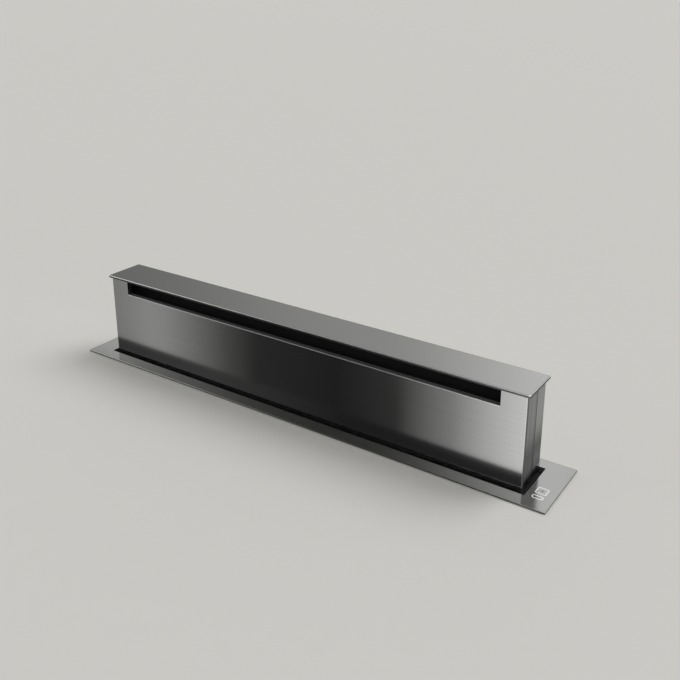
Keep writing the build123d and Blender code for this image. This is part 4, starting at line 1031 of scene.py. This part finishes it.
class EXTRACTOR_OT_collar_relief(bpy.types.Operator):
    """Moulds gussets at the foot of the duct collar and two clamp beads near its mouth"""

    bl_idname = "extractor.collar_relief"
    bl_label = "Collar gussets and beads"

    def execute(self, context):
        low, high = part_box("duct_collar")
        y, z = (low.y + high.y) / 2, (low.z + high.z) / 2
        black = bpy.data.materials["black_abs"]

        def gusset(shape):
            sides = (-GUSSET_HALF_THICKNESS, GUSSET_HALF_THICKNESS)
            rings(shape, [[(a * MM, side, b * MM) for a, b in GUSSET_OUTLINE] for side in sides])

        values = {
            "Count": GUSSETS,
            "Radius": BARREL_RADIUS,
            "Middle": (high.x - GUSSET_ROOT, y, z),
            "Material": black,
        }
        fins = repeated("collar_gussets", ring_tree(), values, gusset)
        ride_and_finish(fins, "housing")

        def beads(shape):
            foot = BARREL_RADIUS - CLAMP_BEAD_SINK
            for start in CLAMP_BEADS:
                profile = [(foot, low.x + start)]
                for step in range(7):
                    angle = math.pi * step / 6
                    along = CLAMP_BEAD_RADIUS * (1 - math.cos(angle))
                    crest = BARREL_RADIUS + CLAMP_BEAD_RADIUS * math.sin(angle)
                    profile.append((crest, low.x + start + along))
                profile.append((foot, low.x + start + 2 * CLAMP_BEAD_RADIUS))
                rings(shape, turned(profile, 96, "X", (0, y, z)), closed=True)

        ride_and_finish(mesh_piece("collar_beads", beads), "housing", black)
        return {"FINISHED"}


LOUVRES = 9
LOUVRE_PITCH = 9 * MM
LOUVRE_TOP = 34 * MM  # from the cover's upper edge to the first louvre
LOUVRE_SIZE = 42 * MM, 2.2 * MM, 1.8 * MM  # half length, half width and height
RIM_SECTION = ((3, 0), (3, -0.9), (5, -0.9), (5, 0))  # inset from the cover's edge, and height
RIM_CORNER = 4 * MM
SLEEVE_STEPS = 12
# in millimetres: a step's length, the radii at the wall and at the lead's end, and a rib's height
SLEEVE_STEP = 1.1
SLEEVE_RADII = 4.6, 2.9
SLEEVE_RIB = 0.35


class EXTRACTOR_OT_control_relief(bpy.types.Operator):
    """Moulds louvres and a raised rim on the control box's cover, and sleeves where the lead enters"""

    bl_idname = "extractor.control_relief"
    bl_label = "Control box relief"

    def execute(self, context):
        low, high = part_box("control_cover")
        across, upright = (low.x + high.x) / 2, (low.z + high.z) / 2
        black = bpy.data.materials["black_abs"]
        values = {
            "Count": LOUVRES,
            "Start": (across, low.y, high.z - LOUVRE_TOP),
            "Step": (0, 0, -LOUVRE_PITCH),
            "Material": black,
        }
        slats = repeated("cover_louvres", row_tree(), values, bead(*LOUVRE_SIZE, -1))
        ride_and_finish(slats, "housing")

        def rim(shape):
            outlines = []
            for inset, rise in RIM_SECTION:
                width, height = (side - 2 * inset * MM for side in (high.x - low.x, high.z - low.z))
                outline = rounded_outline(width, height, RIM_CORNER)
                outlines.append([(across + p.x, low.y + rise * MM, upright + p.y) for p in outline])
            rings(shape, outlines, closed=True)

        ride_and_finish(mesh_piece("cover_rim", rim), "housing", black)

        def sleeves(shape):
            wide, narrow = SLEEVE_RADII
            for foot, axis, way in ((LEAD_ROUTE[0], "Z", -1), (LEAD_ROUTE[-1], "X", 1)):
                profile = []
                for step in range(SLEEVE_STEPS + 1):
                    rib = SLEEVE_RIB if step % 2 else 0
                    radius = wide - (wide - narrow) * step / SLEEVE_STEPS + rib
                    profile.append((radius, way * step * SLEEVE_STEP))
                rings(shape, turned(standing(profile), 24, axis, Vector(foot) * MM))

        ride_and_finish(mesh_piece("lead_sleeves", sleeves), "housing", black)
        return {"FINISHED"}


# ---- lid, slot and filters --------------------------------------------------------------------

LID_LOWER_EDGE = 0.4 * MM
LID_CORNER = 2.4 * MM
CORNER_LOSS = 0.9  # what a corner's radius loses, as a share of its outline's inset
ROLL_RADIUS = 0.95 * MM
ROLL_BACK = 0.8 * MM  # how far behind the front sheet's face the roll's middle lies
ROLL_SINK = 0.4 * MM
# in millimetres, behind the front sheet's face and over the slot's lower edge
LIP_SECTION = ((0.7, 0), (9, 0), (9, 0.4), (0.7, 0.4))


class EXTRACTOR_OT_lid(bpy.types.Operator):
    """Forms the lid with its softly rounded upper edge and its tight lower one"""

    bl_idname = "extractor.lid"
    bl_label = "Lid"

    def execute(self, context):
        upper_edge = context.scene.extractor_sizes.lid_edge
        low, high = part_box("lid")
        centre = (low + high) / 2
        width, depth = high.x - low.x, high.y - low.y
        turns = [math.pi / 2 * step / 5 for step in range(6)]
        lower = [(1 - math.cos(a), 1 - math.sin(a)) for a in turns[::-1]]
        upper = [(1 - math.cos(a), math.sin(a) - 1) for a in turns]
        levels = [(LID_LOWER_EDGE * inset, low.z + LID_LOWER_EDGE * rise) for inset, rise in lower]
        levels += [(upper_edge * inset, high.z + upper_edge * rise) for inset, rise in upper]

        def plate(shape):
            outlines = []
            for inset, level in levels:
                corner = LID_CORNER - CORNER_LOSS * inset
                outline = rounded_outline(width - 2 * inset, depth - 2 * inset, corner, 5)
                outlines.append(at_level(outline, centre, level))
            rings(shape, outlines)

        lid = mesh_piece("lid_sheet", plate)
        ride_and_finish(lid, "riser", bpy.data.materials["lid_stainless"])
        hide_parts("lid")
        return {"FINISHED"}


class EXTRACTOR_OT_slot_edge(bpy.types.Operator):
    """Rolls the slot's lower edge over and backs it with a lip: the roll's near-white colour is a painted
    highlight and the lip's flat grey a painted reflection
    """

    bl_idname = "extractor.slot_edge"
    bl_label = "Slot edge"

    def execute(self, context):
        sizes = context.scene.extractor_sizes
        half, level = sizes.slot_half, sizes.slot_level
        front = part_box("front_panel")[0].y

        def roll(shape):
            ends = [(ROLL_RADIUS, -half), (ROLL_RADIUS, half)]
            rings(shape, turned(ends, 12, "X", (0, front + ROLL_BACK, level - ROLL_SINK)))

        def strip(shape):
            section = [(front + a * MM, level + b * MM) for a, b in LIP_SECTION]
            rings(shape, [[(x, y, z) for y, z in section] for x in (-half, half)])

        # the rolled edge: its near-white colour is a painted highlight, so it shows as one bright line
        highlight_steel = brushed_stainless("slot_roll_highlight", linear("#fafaf8"), GRAIN_ALONG, UPWARDS, 0.34)
        ride_and_finish(mesh_piece("slot_roll", roll), "riser", highlight_steel)
        # satin strip behind the edge, grey where light grazes it: its flat grey is a painted reflection in
        # place of the steel lip's dim tone
        satin = plain_finish("lip_painted_reflection", linear("#686868"), 0.0, 0.6, 2, 0.004)
        ride_and_finish(mesh_piece("slot_lip", strip), "riser", satin)
        return {"FINISHED"}


class EXTRACTOR_OT_filter_wires(bpy.types.Operator):
    """Weaves the corrugated aluminium mesh in the three grease filters"""

    bl_idname = "extractor.filter_wires"
    bl_label = "Filter mesh"

    def execute(self, context):
        low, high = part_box("filter_meshes")
        frame_rails = 22 * MM
        clearance = 1 * MM
        off_middle, wave = 1.2 * MM, 1.1 * MM
        aluminium = bpy.data.materials["filter_aluminium"]
        tree = weave_tree()
        gathered = bmesh.new()
        for part in ("left", "middle", "right"):
            frame_low, frame_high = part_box("filter_frame_" + part)
            middle = Vector((frame_low.x + frame_high.x, low.y + high.y, low.z + high.z)) / 2
            for side in (-1, 1):
                carrier = new_object("weave", bpy.data.meshes.new("weave"))
                # two coarse layers, where a real filter packs many finer ones
                values = {
                    "Width": frame_high.x - frame_low.x - frame_rails,
                    "Height": high.z - low.z - clearance,
                    "Columns": 43,
                    "Rows": 19,
                    "Wave": -side * wave,
                    "Wave length": 24 * MM,
                    "Wire": 0.35 * MM,
                    "Middle": (middle.x, middle.y + side * off_middle, middle.z),
                    "Material": aluminium,
                }
                grown(carrier, tree, values)
                gathered.from_mesh(carrier.data)
                bpy.data.objects.remove(carrier)
        layers = bpy.data.meshes.new("filter_wires")
        gathered.to_mesh(layers)
        gathered.free()
        weave = new_object("filter_wires", layers)
        ride_and_finish(weave, "riser", aluminium)
        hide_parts("filter_meshes")
        return {"FINISHED"}


# ---- studio -----------------------------------------------------------------------------------

CARD_STRENGTH = 1.25
WORKTOP_SPAN = -0.96, 0.72
WORKTOP_NEAR = -0.68
WORKTOP_PAST_GASKET = 3 * MM
CUT_INSET = 5 * MM, 7 * MM  # from the gasket's outer edge to the worktop's cut-out, along X and Y
FLOOR_HALF = 60
FLOOR_THICKNESS = 0.02
WORLD_GLOW = 0.75
# angles in degrees, the sun's turn from +Y towards +X
SUN_TURN, SUN_RISE, SUN_STRENGTH, SUN_SPREAD = 35, 52, 1.3, 35
SENSOR_WIDTH, FOCAL_LENGTH = 36, 45.63
FRAME_SHIFT = -0.0229, -0.1451
CAMERA_PLACE = (0.7948, -1.0361, 0.7154)
CAMERA_YAW, CAMERA_PITCH, CAMERA_ROLL = 33.53, 18.11, 0.249


def reflector(name, corners, ends, tones, fan=None):
    """A studio card that only polished surfaces see, and only from its front, which its corners go
    round anticlockwise. Its tone runs along X, or from ray to ray of a fan about a point."""
    material, tree = new_material(name + "_tone")
    where = add(tree, "ShaderNodeTexCoord")
    offset = {"Location": (-fan[0], -fan[1], 0) if fan else (0, 0, 0)}
    moved = add(tree, "ShaderNodeMapping", {"Vector": where.outputs["Object"]}, offset)
    apart = add(tree, "ShaderNodeSeparateXYZ", {"Vector": moved.outputs[0]})
    along = apart.outputs["X"]
    if fan:
        rays = {0: along, 1: apart.outputs["Y"]}
        along = add(tree, "ShaderNodeMath", rays, operation="DIVIDE").outputs[0]
    limits = {"From Min": ends[0], "From Max": ends[1]}
    share = add(tree, "ShaderNodeMapRange", {"Value": along}, limits)
    ramp = add(tree, "ShaderNodeValToRGB", {"Fac": share.outputs["Result"]})
    stops = ramp.color_ramp.elements
    for place, _ in tones[2:]:
        stops.new(place)
    for stop, (place, tone) in zip(stops, sorted(tones)):
        stop.position = place
        stop.color = (tone, tone, tone, 1)
    lit = add(tree, "ShaderNodeEmission", {"Color": ramp.outputs["Color"]}, {"Strength": CARD_STRENGTH})
    clear = add(tree, "ShaderNodeBsdfTransparent")
    shape = add(tree, "ShaderNodeNewGeometry")
    sides = {0: shape.outputs["Backfacing"], 1: lit.outputs[0], 2: clear.outputs[0]}
    close_material(tree, add(tree, "ShaderNodeMixShader", sides))
    mesh = bpy.data.meshes.new(name)
    mesh.from_pydata(corners, [], [range(len(corners))])
    mesh.materials.append(material)
    card = new_object(name, mesh)
    card.visible_camera = False
    card.visible_diffuse = False
    card.visible_transmission = False
    card.visible_shadow = False
    card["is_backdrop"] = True


def flat_card(name, start, end, level, **tone):
    """A reflector that lies at a level, from one corner to the opposite one."""
    (x, y), (far_x, far_y) = start, end
    corners = [(x, y, level), (far_x, y, level), (far_x, far_y, level), (x, far_y, level)]
    reflector(name, corners, **tone)


def upright_card(name, start, end, y, **tone):
    """A reflector that stands across Y, from one (x, z) corner to the opposite one."""
    (x, z), (far_x, far_z) = start, end
    corners = [(x, y, z), (far_x, y, z), (far_x, y, far_z), (x, y, far_z)]
    reflector(name, corners, **tone)


def worktop_and_floor(sizes, pale):
    """A plain slab with a cut-out, which the extractor hangs in, over a plain floor."""
    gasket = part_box("plate_gasket")[1]
    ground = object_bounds()[0][2] - sizes.floor_drop
    left, right = WORKTOP_SPAN
    near, far = WORKTOP_NEAR, gasket.y + WORKTOP_PAST_GASKET

    def slab(shape):
        outer = [Vector(corner) for corner in ((right, far), (left, far), (left, near), (right, near))]
        inner = square_outline(gasket.x - CUT_INSET[0], gasket.y - CUT_INSET[1])
        band(shape, outer, inner, (0, 0), -sizes.slab_thickness, 0)

    def floor(shape):
        patch(shape, square_outline(FLOOR_HALF, FLOOR_HALF), (0, 0), ground - FLOOR_THICKNESS, ground)

    # matt emulsion paint: even, with no shine
    paint = plain_finish("studio_paint", pale, 0.0, 0.85, 30, 0.0, 0.01)
    for name, build in (("studio_worktop", slab), ("floor", floor)):
        block = mesh_piece(name, build)
        block.data.materials.append(paint)
        block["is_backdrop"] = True


def mirrored_cards():
    """The cards that the polished sheets mirror. Tones are (place, brightness) stops."""
    # what the front sheet mirrors: a dark field before the worktop, pale at its two ends
    dark = [(0, 0.22), (0.06, 0.25), (0.15, 0.33), (0.19, 0.31), (0.281, 0.175), (0.35, 0.08)]
    dark += [(0.42, 0.027), (0.6, 0.016), (0.72, 0.035), (0.822, 0.25), (0.877, 0.49), (0.931, 0.69)]
    dark += [(1, 0.9)]
    flat_card("front_field", (-5, -6), (5, -0.071), 0.006, fan=(0.795, 0.97), ends=(1.25, 0.33), tones=dark)
    shade = [(0, 0.037), (0.3, 0.05), (0.6, 0.015), (1, 0.02)]
    flat_card("front_shade", (-1.2, -0.085), (1.0, -0.0402), 0.0032, ends=(-0.5, 0.5), tones=shade)
    room = [(0, 0.8), (0.1, 0.25), (0.3, 0.13), (0.5, 0.034), (0.75, 0.042), (0.85, 0.25), (0.93, 0.6)]
    room += [(1, 0.9)]
    upright_card("room_card", (9, 0.01), (-9, 5.5), -3, ends=(-4.3, -0.6), tones=room)
    # what the end faces mirror
    end = [(0, 0.1), (0.12, 0.16), (0.29, 0.1), (0.46, 0.255), (0.65, 0.33), (0.84, 0.31), (1, 0.3)]
    flat_card("end_field", (0.4202, -0.063), (1.4, 1.2), 0.0035, ends=(0.42, 0.5), tones=end)
    # a low pale card behind the plate's left end
    glow = [(0, 0.5), (1, 0.5)]
    upright_card("end_glow", (-0.8, 0.01), (-0.46, 0.155), 0.12, ends=(-0.8, -0.46), tones=glow)
    # a flag overhead that darkens the right half of the lid's front edge
    flag = [(0, 0.8), (0.12, 0.5), (0.28, 0.2), (0.5, 0.08), (1, 0.05)]
    flat_card("edge_flag", (-5.4, 1.5), (-1, -3), 5.5, ends=(-5.4, -1), tones=flag)
    # what the lid and the plate mirror: a window that fades to the left
    window = [(0, 0.16), (0.135, 0.215), (0.27, 0.295), (0.41, 0.325), (0.495, 0.53), (0.57, 0.75)]
    window += [(0.645, 0.25), (0.75, 0.03), (0.85, 0.03), (1, 0.45)]
    upright_card("window_card", (-6, 0.2), (3, 5), 2.2, ends=(-3.0, 1.8), tones=window)


def studio_light(pale):
    """A soft sun and a pale world, which the camera and mirrors see at full strength."""
    world = bpy.data.worlds.new("studio_light")
    bpy.context.scene.world = world
    world.use_nodes = True
    tree = world.node_tree
    tree.nodes.clear()
    glow = add(tree, "ShaderNodeBackground", inputs={"Color": shaded(pale), "Strength": WORLD_GLOW})
    seen = add(tree, "ShaderNodeBackground", inputs={"Color": shaded(pale), "Strength": 1.0})
    path = add(tree, "ShaderNodeLightPath").outputs
    rays = {0: path["Is Camera Ray"], 1: path["Is Glossy Ray"]}
    direct = add(tree, "ShaderNodeMath", rays, operation="MAXIMUM")
    rays = {0: direct.outputs[0], 1: path["Is Transmission Ray"]}
    either = add(tree, "ShaderNodeMath", rays, operation="MAXIMUM")
    sources = {0: either.outputs[0], 1: glow.outputs[0], 2: seen.outputs[0]}
    mixed = add(tree, "ShaderNodeMixShader", sources)
    add(tree, "ShaderNodeOutputWorld", {"Surface": mixed.outputs[0]})

    lamp = bpy.data.lights.new("window", "SUN")
    lamp.energy = SUN_STRENGTH
    lamp.angle = math.radians(SUN_SPREAD)
    turn, rise = math.radians(SUN_TURN), math.radians(SUN_RISE)
    towards = Vector((math.sin(turn) * math.cos(rise), math.cos(turn) * math.cos(rise), math.sin(rise)))
    new_object("window", lamp).rotation_euler = towards.to_track_quat("Z", "Y").to_euler()


def photo_camera():
    """The camera that sees the riser as the photograph does."""
    lens = bpy.data.cameras.new("photo_camera")
    lens.sensor_width = SENSOR_WIDTH
    lens.lens = FOCAL_LENGTH
    lens.shift_x, lens.shift_y = FRAME_SHIFT
    yaw, pitch, roll = (math.radians(a) for a in (CAMERA_YAW, CAMERA_PITCH, CAMERA_ROLL))
    level = math.cos(pitch)
    ahead = Vector((-math.sin(yaw) * level, math.cos(yaw) * level, -math.sin(pitch)))
    across = Vector((math.cos(yaw), math.sin(yaw), 0))
    above = across.cross(ahead)
    right_side = math.cos(roll) * across + math.sin(roll) * above
    upwards = math.cos(roll) * above - math.sin(roll) * across
    turn = Matrix((right_side, upwards, -ahead)).transposed().to_4x4()
    camera = new_object("photo_camera", lens)
    camera.matrix_world = Matrix.Translation(CAMERA_PLACE) @ turn
    bpy.context.scene.camera = camera


class EXTRACTOR_OT_studio(bpy.types.Operator):
    """Sets up the plain worktop, floor, reflector cards, light and camera"""

    bl_idname = "extractor.studio"
    bl_label = "Studio"

    def execute(self, context):
        pale = tuple(context.scene.extractor_colours.worktop)
        worktop_and_floor(context.scene.extractor_sizes, pale)
        mirrored_cards()
        studio_light(pale)
        photo_camera()
        context.scene.view_settings.view_transform = "Standard"
        return {"FINISHED"}


# ---- panel and run ----------------------------------------------------------------------------

OPERATORS = (
    EXTRACTOR_OT_stainless,
    EXTRACTOR_OT_hidden_metal,
    EXTRACTOR_OT_mouldings,
    EXTRACTOR_OT_key_print,
    EXTRACTOR_OT_lid,
    EXTRACTOR_OT_slot_edge,
    EXTRACTOR_OT_screws,
    EXTRACTOR_OT_clamps,
    EXTRACTOR_OT_pressings,
    EXTRACTOR_OT_collar_relief,
    EXTRACTOR_OT_control_relief,
    EXTRACTOR_OT_filter_wires,
    EXTRACTOR_OT_touch_lead,
    EXTRACTOR_OT_studio,
)


class EXTRACTOR_PT_dressing(bpy.types.Panel):
    """Lists the extractor's sizes, colours and pieces"""

    bl_idname = "EXTRACTOR_PT_dressing"
    bl_label = "Worktop extractor"
    bl_space_type = "VIEW_3D"
    bl_region_type = "UI"
    bl_category = "Extractor"

    def draw(self, context):
        for group in (context.scene.extractor_sizes, context.scene.extractor_colours):
            for name in group.bl_rna.properties.keys():
                if name not in ("rna_type", "name"):
                    self.layout.prop(group, name)
        for operator in OPERATORS:
            self.layout.operator(operator.bl_idname)


CLASSES = (ExtractorSizes, ExtractorColours, *OPERATORS, EXTRACTOR_PT_dressing)


def register():
    """Adds the classes, and hangs the sizes and colours on every scene."""
    for each in CLASSES:
        bpy.utils.register_class(each)
    bpy.types.Scene.extractor_sizes = bpy.props.PointerProperty(type=ExtractorSizes)
    bpy.types.Scene.extractor_colours = bpy.props.PointerProperty(type=ExtractorColours)


def unregister():
    """Takes back what register adds."""
    del bpy.types.Scene.extractor_colours
    del bpy.types.Scene.extractor_sizes
    for each in reversed(CLASSES):
        bpy.utils.unregister_class(each)


def main():
    """Makes every piece in turn."""
    register()
    for operator in OPERATORS:
        group, name = operator.bl_idname.split(".")
        getattr(getattr(bpy.ops, group), name)()


if __name__ == "__main__":
    main()
